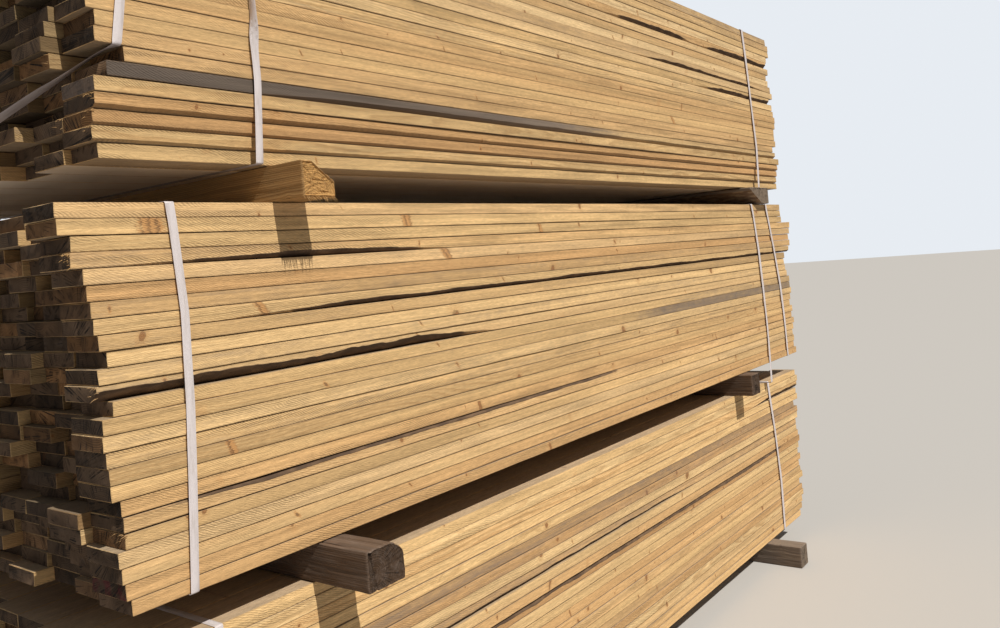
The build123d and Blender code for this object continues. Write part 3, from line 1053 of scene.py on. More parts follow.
def board_tones(bar, look, seed, along, ahead):
    """How a board looks at each point: tone, warmth, greying, painted shade and light, and its ends."""
    length, package = bar["size"][0], bar["package"]
    outer = bar["column"] in outer_columns
    from_nominal = along.ravel() - ahead
    tone = 1 + 0.10 * scatter(seed + 41)
    tone *= package_tones[package]
    # Hidden boards in most rows are darkened as painted shade.
    if not outer and bar["row"] in painted_shade_rows:
        tone *= inner_painted_shade[package] + 0.26 * scatter(seed + 44)
    tone = tone * along_board(look.get("tone", 1.0), from_nominal)
    warmth = look.get("warmth", 0.36 * scatter(seed + 42))
    grey = along_board(look.get("greying", max(0, 0.26 * scatter(seed + 43))), from_nominal)
    # Painted shade near the ends, twice as strong on hidden boards.
    near_ends = np.clip((0.16 - np.minimum(along, length - along)) / 0.10, 0, 1).ravel()
    # Hidden boards at the upper gap carry painted light on their broad faces.
    painted_gap_light = not outer and (package, bar["row"]) in at_upper_gap
    usual_end = (
        1.0 + 0.45 * scatter(seed + 51), max(0, scatter(seed + 52)), max(0, 0.25 * scatter(seed + 53)),
    )
    return {
        "look": np.stack([tone, np.full(along.size, warmth), grey], 1),
        "painted_shade": near_ends * (1.0 if outer else 2.0),
        "painted_gap_light": np.full(along.size, float(painted_gap_light)),
        "end_look": np.tile(look.get("end", usual_end), (along.size, 1)),
    }


def board_parts(bar):
    """Points, faces, face slots and point attributes of one board."""
    seed = package_seeds[bar["package"]] + bar["row"] * 40 + bar["column"] * 3
    at_strapped_side = bar["column"] == 0
    look = board_looks.get((bar["package"], bar["row"]), {}) if at_strapped_side else {}
    ahead = near_end + package_lies[bar["package"]][0] - bar["corner"][0]
    places, across, up, wane, edge = lofted(bar, look, seed, ahead)
    count, ring = across.shape
    along = np.repeat(places[:, None], ring, 1)
    shifted = sawn_off(bar, seed, along, across, up)
    points = bar["corner"] + np.stack([shifted, across, up], 2).reshape(-1, 3) @ bar["axes"]
    quads = ring_quads(count, ring)
    near_cap = list(range(ring))[::-1]
    far_cap = [(count - 1) * ring + k for k in range(ring)]
    faces = quads + [near_cap, far_cap]
    if not at_strapped_side:
        faces = [face[::-1] for face in faces]
    attributes = {
        **in_the_log(bar, look, seed, along, across, up, ahead),
        **board_tones(bar, look, seed, along, ahead),
        "wane": wane.reshape(-1) * look.get("bark", True),
        "edge": edge.reshape(-1),
    }
    return points, faces, [0] * len(quads) + [1, 1], attributes


def mesh_object(name, pieces, materials, sharp=35):
    """One object from the parts of several boards or timbers."""
    points = np.concatenate([piece[0] for piece in pieces])
    faces, slots, offset = [], [], 0
    for piece in pieces:
        faces += [[i + offset for i in face] for face in piece[1]]
        slots += piece[2]
        offset += len(piece[0])
    mesh = bpy.data.meshes.new(name)
    mesh.from_pydata(points.tolist(), [], faces)
    for material in materials:
        mesh.materials.append(material)
    mesh.polygons.foreach_set("material_index", slots)
    for key in pieces[0][3]:
        values = np.concatenate([piece[3][key] for piece in pieces]).astype(np.float32)
        kind, field = ("FLOAT", "value") if values.ndim == 1 else ("FLOAT_VECTOR", "vector")
        mesh.attributes.new(key, kind, "POINT").data.foreach_set(field, values.ravel())
    mesh.shade_smooth()
    mesh.set_sharp_from_angle(angle=math.radians(sharp))
    mesh.update()
    made = bpy.data.objects.new(name, mesh)
    scene.collection.objects.link(made)
    return made


triangles = {}
for name in sorted({bar["node"] for bar in boards}):
    pieces = [board_parts(bar) for bar in boards if bar["node"] == name]
    layer = mesh_object("sawn_" + name, pieces, [pine, sawn_end])
    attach(layer, "root")
    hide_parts(name)
    triangles[layer.name] = sum(len(face.vertices) - 2 for face in layer.data.polygons)
print("stations on a strapped-side board:", plain_stations, "or with wane", waney_stations)
print("board triangles:", sum(triangles.values()), "most in a piece:", max(triangles.values()))

# %% [markdown]
# ## Bearer timber
# The bearers are squared from small logs, so their rings run round a pith near the middle. One
# is freshly sawn and still yellow; the others are years old, some brown and some washed grey.
# The same groups serve both, with other colours: a function makes the long faces and the ends
# of one kind of timber.

# %% Bearer materials
def bearer_materials(name, wood, late, grey, end_wood, end_late, check_width=0.03):
    """The material of a bearer's long faces, and that of its ends."""
    side, tree, shader = new_material(name, 0.2)
    grain = attribute(tree, "grain")
    tone = parts_of(tree, attribute(tree, "look"))[0]
    knots = use_group(tree, knots_group, Grain=grain, Size=1.3)
    rings = use_group(tree, rings_group, Grain=grain, Bend=knots["Bend"], Pitch=0.0034)
    saw = use_group(tree, saw_group, Grain=grain, Pitch=0.0055, Slant=1.6)
    colour = tint(tree, times(tree, rings["Late Wood"], 0.6), wood, late)
    shade = shade_of(
        tree, (rings["Streaks"], 0.25, 0.75, 0.70, 1.22), (rings["Fibres"], 0.25, 0.75, 0.85, 1.12),
        (saw["Ridges"], 0.0, 1.0, 1.0, 0.84),
    )
    colour = stretch_by(tree, colour, times(tree, shade, tone))
    colour = cover(tree, colour, knots["Knot"], 0.8, (0.10, 0.05, 0.025, 1))
    weather = use_group(
        tree, weather_group, Colour=colour, Grain=grain, Greying=grey, Late_Wood=rings["Late Wood"],
    )
    wane = attribute(tree, "wane", "Fac")
    bark_noise = bark_noise_of(tree, grain)
    skin = ramp(tree, bark_noise, 0.42, 0.62, (0.16, 0.09, 0.045, 1), (0.34, 0.23, 0.13, 1))
    ragged_skin = times_plus(tree, minus(tree, bark_noise, 0.5), 0.7, wane)
    skin_mask = times(tree, span(tree, ragged_skin, 0.35, 0.6), 0.8)
    join(tree, tint(tree, skin_mask, weather["Colour"], skin), shader.inputs["Base Color"])
    join(tree, span(tree, rings["Fibres"], 0.2, 0.8, 0.78, 0.95), shader.inputs["Roughness"])
    relief(tree, shader, [
        (saw["Ridges"], 0.0006, 1.0), (rings["Late Wood"], 0.0005, 0.8), (rings["Fibres"], 0.0006, 1.0),
    ])

    end, tree, shader = new_material(name + "_end", 0.15)
    grain = attribute(tree, "grain")
    rings = use_group(tree, rings_group, Grain=grain, Pitch=0.0038)
    checks = use_group(tree, check_group, Grain=grain, Count=9.0, Width=check_width)
    torn = streaky(tree, grain, (60.0, 560.0, 380.0), 5.0, 0.8)
    colour = tint(tree, times(tree, rings["Late Wood"], 0.65), end_wood, end_late)
    colour = stretch_by(tree, colour, shade_of(tree, (torn, 0.3, 0.7, 0.55, 1.35)))
    colour = tint(tree, checks["Check"], colour, (0.020, 0.014, 0.010, 1))
    weather = use_group(
        tree, weather_group, Colour=colour, Grain=grain, Greying=grey * 0.8, Late_Wood=rings["Late Wood"],
    )
    join(tree, weather["Colour"], shader.inputs["Base Color"])
    shader.inputs["Roughness"].default_value = 0.92
    relief(tree, shader, [
        (torn, 0.0016, 1.0), (rings["Late Wood"], 0.0008, 0.8),
        (minus(tree, 1.0, checks["Check"]), 0.002, 1.0),
    ])
    return side, end


fresh_timber = bearer_materials(
    "fresh_timber", (0.50, 0.30, 0.12, 1), (0.30, 0.15, 0.055, 1), 0.0,
    (0.60, 0.345, 0.125, 1), (0.42, 0.205, 0.064, 1), 0.003,
)
old_timber = bearer_materials(
    "old_timber", (0.145, 0.088, 0.052, 1), (0.068, 0.040, 0.024, 1), 0.33,
    (0.084, 0.049, 0.028, 1), (0.045, 0.027, 0.016, 1),
)
grey_timber = bearer_materials(
    "grey_timber", (0.340, 0.262, 0.180, 1), (0.200, 0.145, 0.095, 1), 0.45,
    (0.260, 0.195, 0.130, 1), (0.150, 0.105, 0.068, 1),
)

# %% [markdown]
# ## Building the bearers
# A bearer's section is read from its CAD node, so the timber lies where the frame says. The
# outline is smoothed to wear its edges, repeated along the timber, and pushed in by noise that
# changes slowly along the grain and fast across it. Old timbers get long cracks down their
# sides.

# %% Bearer meshes
def section_of(node):
    """The outline of a bearer's end, as points in X and Z, and its two ends along Y."""
    points = np.array([vertex.co for vertex in node.data.vertices])
    start, end = points[:, 1].min(), points[:, 1].max()
    corners = np.unique(np.round(points[points[:, 1] < start + 0.001][:, [0, 2]], 5), axis=0)
    centre = corners.mean(0)
    turns = np.arctan2(corners[:, 1] - centre[1], corners[:, 0] - centre[0])
    return corners[np.argsort(turns)], start, end


def worn_outline(corners, wear, count, straight):
    """The outline with its corners worn round, as evenly spaced points, and which are wane. A
    straight wane leaves out the points between the flat top and the upright side."""
    if straight:
        low, high = corners.min(0), corners.max(0)
        corners = corners[np.minimum(corners - low, high - corners).min(1) < 0.0005]
    closed = np.vstack([corners, corners[:1]])
    runs = np.concatenate([[0], np.cumsum(np.linalg.norm(np.diff(closed, axis=0), axis=1))])
    fine = 720
    places = np.linspace(0, runs[-1], fine, endpoint=False)
    line = np.stack([np.interp(places, runs, closed[:, k]) for k in (0, 1)], 1)
    reach = max(1, int(round(wear / (runs[-1] / fine))))
    for _ in range(2):
        line = np.mean([np.roll(line, k, 0) for k in range(-reach, reach + 1)], 0)
    line = line[:: fine // count]
    low, high = corners.min(0), corners.max(0)
    from_sides = np.minimum(line - low, high - line).min(1)
    return line, np.clip((from_sides - 0.003) / 0.004, 0, 1)


bearer_ring = 90
ring_turns = np.linspace(0, 2 * math.pi, bearer_ring, endpoint=False)
net_shares = (0.97, 0.93, 0.88, 0.82, 0.75, 0.67, 0.58, 0.49, 0.40, 0.31, 0.22, 0.14, 0.07)


def from_turn(turn_at):
    """How far each point of a ring is from one turn, either way round."""
    return np.abs((ring_turns - turn_at + math.pi) % (2 * math.pi) - math.pi)


def side_inset(outline, place, length, rough, cracks, seed):
    """How far in each point of the outline lies, at one place along a bearer."""
    inset = np.array([
        0.5 + 0.5 * noise.noise(Vector((x * 60, place * 4 + seed, z * 60)))
        + 0.35 * noise.noise(Vector((x * 260, place * 14 + seed, z * 260)))
        for x, z in outline
    ]) * rough
    inset = np.clip(inset, 0, None) + 0.0002
    for turn_at, crack_start, crack_end, depth in cracks:
        here = turn_at + 0.10 * noise.noise(Vector((place * 5, turn_at, seed)))
        share = max(0, min(1, (place / length - crack_start) * 12, (crack_end - place / length) * 12))
        inset += depth * share * np.exp(-(from_turn(here) / 0.030) ** 2)
    return inset


def end_hollow(net, share, end_rough, cracks, seed):
    """How deep each point of a net lies in a bearer's end, with its torn fibres and checks."""
    torn = np.array([
        0.6 + 0.5 * noise.noise(Vector((x * 190 + seed, 3.1, z * 190)))
        + 0.4 * noise.noise(Vector((x * 60 + seed, 7.7, z * 420)))
        for x, _, z in net
    ]) * end_rough
    for turn_at, _, _, depth in cracks:
        torn += 1.4 * depth * share * np.exp(-(from_turn(turn_at) / 0.045) ** 2)
    return np.clip(torn, 0, None) * min(1, (1 - share) * 12)


def bearer_parts(node, wear, rough, end_rough, cracks, pith, seed, straight=False):
    """Points, faces, slots and attributes of one bearer. The pith is a share of its section."""
    corners, start, end = section_of(node)
    ring = bearer_ring
    outline, wane = worn_outline(corners, wear, ring, straight)
    centre = outline.mean(0)
    ahead = np.roll(outline, -1, 0) - np.roll(outline, 1, 0)
    outward = np.stack([ahead[:, 1], -ahead[:, 0]], 1) / np.linalg.norm(ahead, axis=1)[:, None]
    length = end - start
    places = np.concatenate([[0, 0.0015, 0.004, 0.009], np.linspace(0.018, length - 0.018, 62)])
    places = np.concatenate([places, length - np.array([0.009, 0.004, 0.0015, 0])])
    rows, points = [], []
    for number, place in enumerate(places):
        inset = side_inset(outline, place, length, rough, cracks, seed)
        if number in (0, len(places) - 1):
            inset += 0.0022
        elif number in (1, len(places) - 2):
            inset += 0.0006
        line = outline - outward * inset[:, None]
        points.append(np.column_stack([line[:, 0], np.full(ring, start + place), line[:, 1]]))
        rows.append(np.stack([np.full(ring, place), line[:, 0], line[:, 1]], 1))
    faces = ring_quads(len(places), ring)
    slots = [0] * len(faces)
    waney = [np.tile(wane, (len(places), 1)).ravel()]
    total = ring * len(places)
    pith_at = corners.min(0) + np.array(pith) * (corners.max(0) - corners.min(0))
    net_centre = centre if straight else pith_at
    for first, place, inwards, rim in ((0, 0, 1, points[0]), (total - ring, length, -1, points[-1])):
        last = np.arange(first, first + ring)
        middle = np.array([net_centre[0], rim[0, 1], net_centre[1]])
        for share in net_shares:
            net = middle + (rim - middle) * share
            net[:, 1] = rim[0, 1] + inwards * end_hollow(net, share, end_rough, cracks, seed)
            new = np.arange(total, total + ring)
            nets = np.stack([last, np.roll(last, -1), np.roll(new, -1), new], 1)
            faces += (nets[:, ::-1] if inwards > 0 else nets).tolist()
            slots += [1] * ring
            points.append(net)
            rows.append(np.stack([np.full(ring, place), net[:, 0], net[:, 2]], 1))
            waney.append(np.zeros(ring))
            last = new
            total += ring
        points.append(middle[None] + np.array([[0, inwards * end_rough * 0.6, 0]]))
        rows.append(np.array([[place, middle[0], middle[2]]]))
        waney.append(np.zeros(1))
        for a, b in zip(last, np.roll(last, -1)):
            faces.append([b, a, total] if inwards > 0 else [a, b, total])
        slots += [1] * ring
        total += 1
    points = np.concatenate(points)
    rows = np.concatenate(rows)
    grain = np.stack([rows[:, 0] + 50 + seed * 3.3, rows[:, 1] - pith_at[0], rows[:, 2] - pith_at[1]], 1)
    many = len(points)
    attributes = {
        "grain": grain, "wane": np.concatenate(waney),
        "look": np.tile([1 + 0.08 * scatter(seed), 0, 0], (many, 1)),
    }
    return points, [face[::-1] for face in faces], slots, attributes


# Each bearer: its materials, how far its edges are worn, how rough its sides and ends are, its
# cracks, where its pith is and a seed. A crack has the turn at which it runs, its start and end
# as shares of the length, and its depth.
bearer_finishes = {
    "ground_bearer_near": (grey_timber, 0.003, 0.0020, 0.0016, [(3.6, 0.1, 0.7, 0.004)], (0.4, 0.45), 3),
    "ground_bearer_far": (grey_timber, 0.003, 0.0020, 0.0016, [(2.7, -0.2, 0.5, 0.004)], (0.6, 0.5), 4),
    "lower_bearer_near": (
        old_timber, 0.0045, 0.0024, 0.0022,
        [(4.62, -0.2, 0.6, 0.007), (0.38, -0.1, 0.8, 0.006), (2.55, 0.0, 0.6, 0.003)], (0.17, 0.45), 5,
    ),
    "lower_bearer_far": (old_timber, 0.003, 0.0020, 0.0016, [(3.9, -0.2, 0.4, 0.004)], (0.5, 0.4), 6),
    "upper_bearer_near": (fresh_timber, 0.0016, 0.0014, 0.0050, [], (0.30, -0.20), 7),
    "upper_bearer_far": (grey_timber, 0.003, 0.0020, 0.0016, [(3.0, -0.2, 0.5, 0.004)], (0.5, 0.9), 8),
}
for name, (timber, wear, rough, end_rough, cracks, pith, seed) in bearer_finishes.items():
    parts = bearer_parts(nodes[name], wear, rough, end_rough, cracks, pith, seed, timber is fresh_timber)
    made = mesh_object("timber_" + name, [parts], timber, sharp=50)
    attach(made, "root")
    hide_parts(name)
    triangles[made.name] = sum(len(face.vertices) - 2 for face in made.data.polygons)
print("bearer triangles:", sum(count for key, count in triangles.items() if key.startswith("timber")))

# %% [markdown]
# ## Torn fibres
# Where a saw leaves green wood it tears the last fibres instead of cutting them. The fresh
# bearer has a whole fringe of them under its end, which even shows in its shadow, and some
# board ends are splintered. Hair curves could do this, but they are few, so each one is a thin
# three-sided sliver that starts inside the wood, bends a little and runs out to a point.

# %% Torn fibre material and slivers
torn_fibre, tree, shader = new_material("torn_fibre")
grain = attribute(tree, "grain")
uneven = streaky(tree, grain, (120.0, 900.0, 900.0), 3.0, 0.6)
fibre_tone = attribute(tree, "look", "Fac")
colour = ramp(tree, uneven, 0.3, 0.7, (0.52, 0.31, 0.115, 1), (0.36, 0.20, 0.070, 1))
colour = tint(tree, fibre_tone, (0.30, 0.19, 0.10, 1), colour)
join(tree, colour, shader.inputs["Base Color"])
shader.inputs["Roughness"].default_value = 0.85
relief(tree, shader, [(uneven, 0.0003, 1.0)])


sliver_girths = ((-0.25, 1.0), (0.1, 1.0), (0.4, 0.8), (0.7, 0.5), (1.0, 0.06))


def sliver(root, heading, bend, length, thick, tone, seed, edge_way=(0.31, 0.52, 0.79)):
    """One torn fibre: points, faces, slots and attributes. Its wide side is square to edge_way."""
    heading = np.array(heading, float) / np.linalg.norm(heading)
    sideways = np.cross(heading, edge_way)
    sideways /= np.linalg.norm(sideways)
    other = np.cross(heading, sideways)
    points = []
    for share, girth in sliver_girths:
        middle = np.array(root) + heading * length * share + np.array(bend) * length * max(share, 0) ** 2
        for turn_at in (0, 2.1, 4.2):
            reach = 0.5 * thick * girth
            flat = reach * math.cos(turn_at) * sideways * 1.8 + reach * math.sin(turn_at) * other
            points.append(middle + flat)
    faces = []
    for k in range(4):
        for a, b in ((0, 1), (1, 2), (2, 0)):
            faces.append([3 * k + a, 3 * k + b, 3 * k + 3 + b, 3 * k + 3 + a])
    faces += [[2, 1, 0], [12, 13, 14]]
    along = np.repeat([share for share, _ in sliver_girths], 3) * length
    grain = np.column_stack([along + seed, np.tile([0, 0.001, 0.002], 5), np.full(15, 0.3 * seed)])
    return np.array(points), faces, [0] * len(faces), {"grain": grain, "look": np.full(15, float(tone))}


# %% [markdown]
# The fringe hangs from the lower edge of the fresh bearer's end, and a few fibres stand out of
# the end itself. The splintered board ends are near the strapped side, where they show.

# %% Fringe and splinters
def box_of(name):
    """A node's box as two arrays."""
    low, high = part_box(name)
    return np.array(low), np.array(high)


fresh_low, fresh_high = box_of("upper_bearer_near")
fringe = []
hanging_fibres, end_fibres = 26, 40
for k in range(hanging_fibres):
    share = (k + 0.5 + 0.45 * scatter(k)) / hanging_fibres
    x = fresh_low[0] + 0.002 + (fresh_high[0] - fresh_low[0] - 0.004) * share
    length = 0.0115 + 0.005 * scatter(k + 100) + 0.003 * scatter(k * 0.3 + 7)
    root = (x, fresh_low[1] + 0.0035 + 0.002 * scatter(k + 200), fresh_low[2] + 0.0022)
    heading = (0.16 * scatter(k + 300), -0.8 + 0.2 * scatter(k + 400), -0.6)
    bend = (0.15 * scatter(k + 500), 0, -0.2)
    thick = 0.0015 + 0.0006 * scatter(k + 600)
    fringe.append(sliver(root, heading, bend, length, thick, 1, k, (0, 0.6, -0.8)))
for k in range(end_fibres):
    share = 0.5 + 0.5 * scatter(k + 700)
    up = 0.5 + 0.5 * scatter(k + 800)
    limit = 1 - 0.55 * max(0, share - 0.3) / 0.7
    x = fresh_low[0] + (fresh_high[0] - fresh_low[0]) * share
    z = fresh_low[2] + (fresh_high[2] - fresh_low[2]) * min(up, limit) * 0.9 + 0.003
    heading = (0.5 * scatter(k + 900), -0.6, -0.9 + 0.5 * scatter(k + 1000))
    length = 0.006 + 0.003 * scatter(k + 1100)
    fringe.append(sliver((x, fresh_low[1] + 0.004, z), heading, (0, 0, -0.2), length, 0.0011, 1, k + 50))
made = mesh_object("torn_fringe_upper_bearer", fringe, [torn_fibre], 60)
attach(made, "root")
print("fibres on the fresh bearer:", len(fringe))

# Package, row, column, how many splinters and how pale they are
splintered = [
    ("middle", 21, 0, 26, 1.0), ("middle", 13, 0, 10, 0.5), ("middle", 24, 1, 6, 0.5),
    ("middle", 4, 0, 8, 0.6), ("top", 1, 0, 6, 0.9), ("top", 2, 0, 8, 0.9), ("top", 3, 0, 10, 0.9),
    ("top", 2, 1, 8, 0.7), ("top", 3, 2, 10, 0.8), ("top", 4, 3, 8, 0.8), ("top", 6, 1, 6, 0.6),
    ("top", 9, 0, 5, 0.8), ("low", 22, 0, 6, 0.7),
]
splinters = []
for package, row, column, count, tone in splintered:
    bar = next(b for b in boards if (b["package"], b["row"], b["column"]) == (package, row, column))
    for k in range(count):
        number = row * 31 + column * 7 + k
        across = bar["size"][1] * (0.02 + 0.30 * (0.5 + 0.5 * scatter(number))) * (0.3 if k % 2 else 1)
        up = bar["size"][2] * (0.90 if k % 3 else 0.08 + 0.8 * (0.5 + 0.5 * scatter(number + 0.5)))
        root = bar["corner"] + np.array([0.0015, across, up]) @ bar["axes"]
        heading = (-1, 0.4 * scatter(number + 11), 0.15 + 0.45 * scatter(number + 12))
        bend = (0, 0.3 * scatter(number + 13), -0.35 + 0.2 * scatter(number + 14))
        length = 0.007 + 0.005 * scatter(number + 15)
        thick = 0.0010 + 0.0003 * scatter(number + 16)
        splinters.append(sliver(root, heading, bend, length, thick, tone, number))
made = mesh_object("torn_splinters_near_end", splinters, [torn_fibre], 60)
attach(made, "root")
print("splinters on the board ends:", len(splinters))

# %% [markdown]
# ## Strapping
# The straps are flat plastic band, 16 mm wide and under a millimetre thick, with a fine diamond
# pattern rolled into it. Along the band and across it, the mesh carries its own coordinates in
# metres, so that the pattern follows the band round every corner.

# %% Strap material
def smears_of(tree, across, along, pace, salt, roughness=0.5):
    """Dirt that is drawn out along the band."""
    place = vector_of(tree, times(tree, across, 90.0), times(tree, along, pace), salt)
    return cloud(tree, place, 1.0, 4.0, roughness)


strap_plastic, tree, shader = new_material("strap_plastic")
across, along, _ = parts_of(tree, attribute(tree, "band"))
diamond_turns = 2 * math.pi / 0.0022
one_way = calc(tree, "SINE", times(tree, plus(tree, along, across), diamond_turns))
other_way = calc(tree, "SINE", times(tree, minus(tree, along, across), diamond_turns))
diamonds = times(tree, one_way, other_way)
margin = span(tree, calc(tree, "ABSOLUTE", across), 0.0066, 0.0072, 1.0, 0.0)
rolled = times(tree, span(tree, diamonds, -0.2, 0.5), margin)
smears = smears_of(tree, across, along, 9.0, 0.0, 0.65)
# Darker grey patches that come and go along the strap.
cross_bands = cloud(tree, vector_of(tree, 0.0, times(tree, along, 35.0), 5.0), 1.0, 2.0)
clean_plastic = (0.72, 0.655, 0.645, 1)
colour = ramp(tree, smears, 0.42, 0.78, clean_plastic, (0.50, 0.43, 0.385, 1))
colour = tint(tree, span(tree, cross_bands, 0.60, 0.72, 0.0, 0.18), colour, (0.45, 0.40, 0.36, 1))
colour = cover(tree, colour, rolled, 0.16, (0.94, 0.90, 0.92, 1))
# Painted shade where the band runs through the upper gap or across the board ends, broken up by the smears.
painted_shade = times(tree, attribute(tree, "painted_shade", "Fac"), span(tree, smears, 0.2, 0.5, 0.65, 1.0))
colour = cover(tree, colour, painted_shade, 0.62, (0.215, 0.170, 0.160, 1))
join(tree, colour, shader.inputs["Base Color"])
join(tree, span(tree, smears, 0.3, 0.8, 0.34, 0.6), shader.inputs["Roughness"])
relief(tree, shader, [(rolled, 0.00018, 1.0)])

# %% [markdown]
# A strap is pulled tight over the corners of its package and lies flat on the boards between
# them. The photograph shows that the runs aren't quite upright and bow a little, so each side
# run is a list of heights and places. The path goes once round the package with small arcs at
# the corners, and a thin rounded section is swept along it. One strap has turned on edge for a
# hand's width, which is a twist of that section. Under the top package the straps are darkened
# as painted shade.

# %% Strap meshes
middle_bottom = 0.7668
upper_gap_top = 1.4660
strap_gap = 0.0008
back_bow, back_sway = 0.6, 0.004
edge_on_middle, edge_on_reach = 1.005, 0.075


def as_it_lies(points, package):
    """Points in a package's own frame, moved and turned in the way that the package lies."""
    along, inward, turn_by = package_lies[package]
    turned = np.array(points, float)
    turned[:, 0] = math.cos(turn_by) * points[:, 0] - math.sin(turn_by) * points[:, 1] + along
    turned[:, 1] = math.sin(turn_by) * points[:, 0] + math.cos(turn_by) * points[:, 1] + inward
    return turned


def bulge_at(share, bow):
    """How far a strap stands off its package, at each share of the way up."""
    return bow * np.sin(math.pi * share) * (1 + 0.4 * np.sin(9 * share))


def strap_path(side_run, top_place, bottom_place, bow):
    """Once round a package, from the middle of its top over the strapped side. The side run is a
    list of height and place along the boards, from the top down."""
    heights = np.array([height for height, _ in side_run])
    places = np.array([place for _, place in side_run])
    top, bottom = heights[0], heights[-1]
    round_off = 0.003
    off = side_face + strap_gap

    def side_x(height):
        return near_end + np.interp(-height, -heights, places)

    down = np.linspace(top - round_off, bottom + round_off, 47)
    share = (down - bottom) / (top - bottom)
    bulge = bulge_at(share, bow)
    runs = [np.column_stack([side_x(down), -off - bulge, down])]
    arc = np.radians([15, 45, 75])

    def corner(x, y, z, first):
        turns = arc + math.radians(first)
        return np.column_stack([np.full(3, x), y + round_off * np.cos(turns), z + round_off * np.sin(turns)])

    low_y = np.linspace(-off + round_off, off - round_off, 21)
    low_share = (low_y + off) / (2 * off)
    runs.append(corner(near_end + places[-1], -off + round_off, bottom + round_off, 180))
    runs.append(np.column_stack([
        near_end + places[-1] + (bottom_place - places[-1]) * low_share, low_y, np.full(21, bottom),
    ]))
    runs.append(corner(near_end + bottom_place, off - round_off, bottom + round_off, 270))
    back_x = near_end + bottom_place + (top_place - bottom_place) * share[::-1]
    back_x = back_x + back_sway * np.sin(4 * share)
    runs.append(np.column_stack([back_x, off + bulge[::-1] * back_bow, down[::-1]]))
    runs.append(corner(near_end + top_place, off - round_off, top - round_off, 0))
    top_x = near_end + top_place + (places[0] - top_place) * low_share
    runs.append(np.column_stack([top_x, -low_y, np.full(21, top)]))
    runs.append(corner(near_end + places[0], -off + round_off, top - round_off, 90))
    return np.concatenate(runs)


def band_parts(path, twist, closed=True, width=0.016, thick=0.0007, lies=None):
    """A flat band swept along a path. The twist turns it about its own length at each point."""
    count = len(path)
    if closed:
        ahead = np.roll(path, -1, 0) - np.roll(path, 1, 0)
    else:
        ahead = np.gradient(path, axis=0)
    ahead /= np.linalg.norm(ahead, axis=1)[:, None]
    if lies is None:
        lies = np.tile([1.0, 0, 0], (count, 1))
    wide = lies - ahead * (lies * ahead).sum(1)[:, None]
    wide /= np.linalg.norm(wide, axis=1)[:, None]
    flat = np.cross(ahead, wide)
    cosine, sine = np.cos(twist)[:, None], np.sin(twist)[:, None]
    wide, flat = wide * cosine + flat * sine, flat * cosine - wide * sine
    half, edge = width / 2, thick / 2
    across = np.array([-half, -half + edge, 0, half - edge, half, half - edge, 0, -half + edge])
    deep = np.array([0, edge, edge, edge, 0, -edge, -edge, -edge])
    points = path[:, None] + wide[:, None] * across[None, :, None] + flat[:, None] * deep[None, :, None]
    steps = np.linalg.norm(np.roll(path, -1, 0) - path, axis=1)
    travelled = np.concatenate([[0], np.cumsum(steps)[:-1]])
    ring = len(across)
    faces = ring_quads(count, ring, closed)
    if not closed:
        faces += [list(range(ring))[::-1], [(count - 1) * ring + k for k in range(ring)]]
    band = np.stack([
        np.tile(across, (count, 1)), np.repeat(travelled[:, None], ring, 1), np.tile(deep, (count, 1)),
    ], 2).reshape(-1, 3)
    return points.reshape(-1, 3), faces, [0] * len(faces), {"band": band}


# Each strap: its package, the run down the strapped side, the places of its top and bottom at
# the back, and how far it bows. Heights are from the underside of the middle package, and places
# from the near end, in mm.
strap_runs = {
    "low_package_strap_near": ("low", [(-79, 136), (-686.5, 140)], 136, 140, 0.0010),
    "low_package_strap_far": (
        "low", [(-79, 2688), (-160, 2700), (-290, 2722), (-470, 2742), (-590, 2741), (-686.5, 2740)],
        2688, 2740, 0.0012,
    ),
    "middle_package_strap_near": (
        "middle", [(632.8, 117), (600, 120), (450, 129), (300, 126), (150, 117), (-0.6, 108)],
        124, 110, 0.0016,
    ),
    "middle_package_strap_far_slack": (
        "middle", [(632.8, 2640), (600, 2650), (450, 2674), (300, 2689), (150, 2696), (-78.8, 2697)],
        2650, 2697, 0.0022,
    ),
    "middle_package_strap_far_end": (
        "middle", [(632.8, 2795), (600, 2802), (430, 2850), (300, 2883), (150, 2898), (-0.6, 2907)],
        2802, 2907, 0.0016,
    ),
    "top_package_strap_near": (
        "top", [(1332.6, 301), (1150, 297), (985, 298), (893, 301), (850, 302), (699.2, 293)],
        301, 293, 0.0016,
    ),
    "top_package_strap_far": (
        "top", [(1332.6, 2697), (1210, 2712), (950, 2738), (860, 2746), (780, 2742), (699.2, 2738)],
        2697, 2738, 0.0016,
    ),
}


def add_band(name, package, path, twist, painted_shade_share, lies=None):
    """One band in place of its CAD node. Painted shade and twist have a value for each point of the path."""
    points, faces, slots, attributes = band_parts(path, twist, lies=lies)
    attributes["painted_shade"] = np.repeat(painted_shade_share, len(points) // len(path))
    band = (as_it_lies(points, package), faces, slots, attributes)
    strap = mesh_object("band_" + name, [band], [strap_plastic], 60)
    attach(strap, "root")
    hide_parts(name)


for name, (package, side_run, top_place, bottom_place, bow) in strap_runs.items():
    run = [(height / 1000 + middle_bottom, place / 1000) for height, place in side_run]
    path = strap_path(run, top_place / 1000, bottom_place / 1000, bow)
    twist = 0.05 * np.sin(path[:, 2] * 14 + path[:, 0] * 9) * (np.abs(path[:, 1]) > side_face - 0.001)
    if name == "top_package_strap_near":
        on_side = (path[:, 1] < -side_face + 0.001).astype(float)
        edge_on = np.exp(-((path[:, 2] - middle_bottom - edge_on_middle) / edge_on_reach) ** 4)
        twist = twist + on_side * edge_on * math.radians(84)
        path[:, 1] -= on_side * edge_on * 0.0075
    # Runs inside the upper gap get painted shade.
    in_gap = (np.abs(path[:, 1]) < side_face - 0.002) & (np.abs(path[:, 2] - upper_gap_top) < 0.004)
    add_band(name, package, path, twist, in_gap.astype(float))
print("straps:", len(strap_runs))

# %% [markdown]
# Each strap is closed by a weld: its two ends lie over each other for a hand's width and are
# fused between two jaws. The welds are at the back, where the tool was used. The upper end is a
# short open band on top of the closed one, with its last centimetres lifting off.

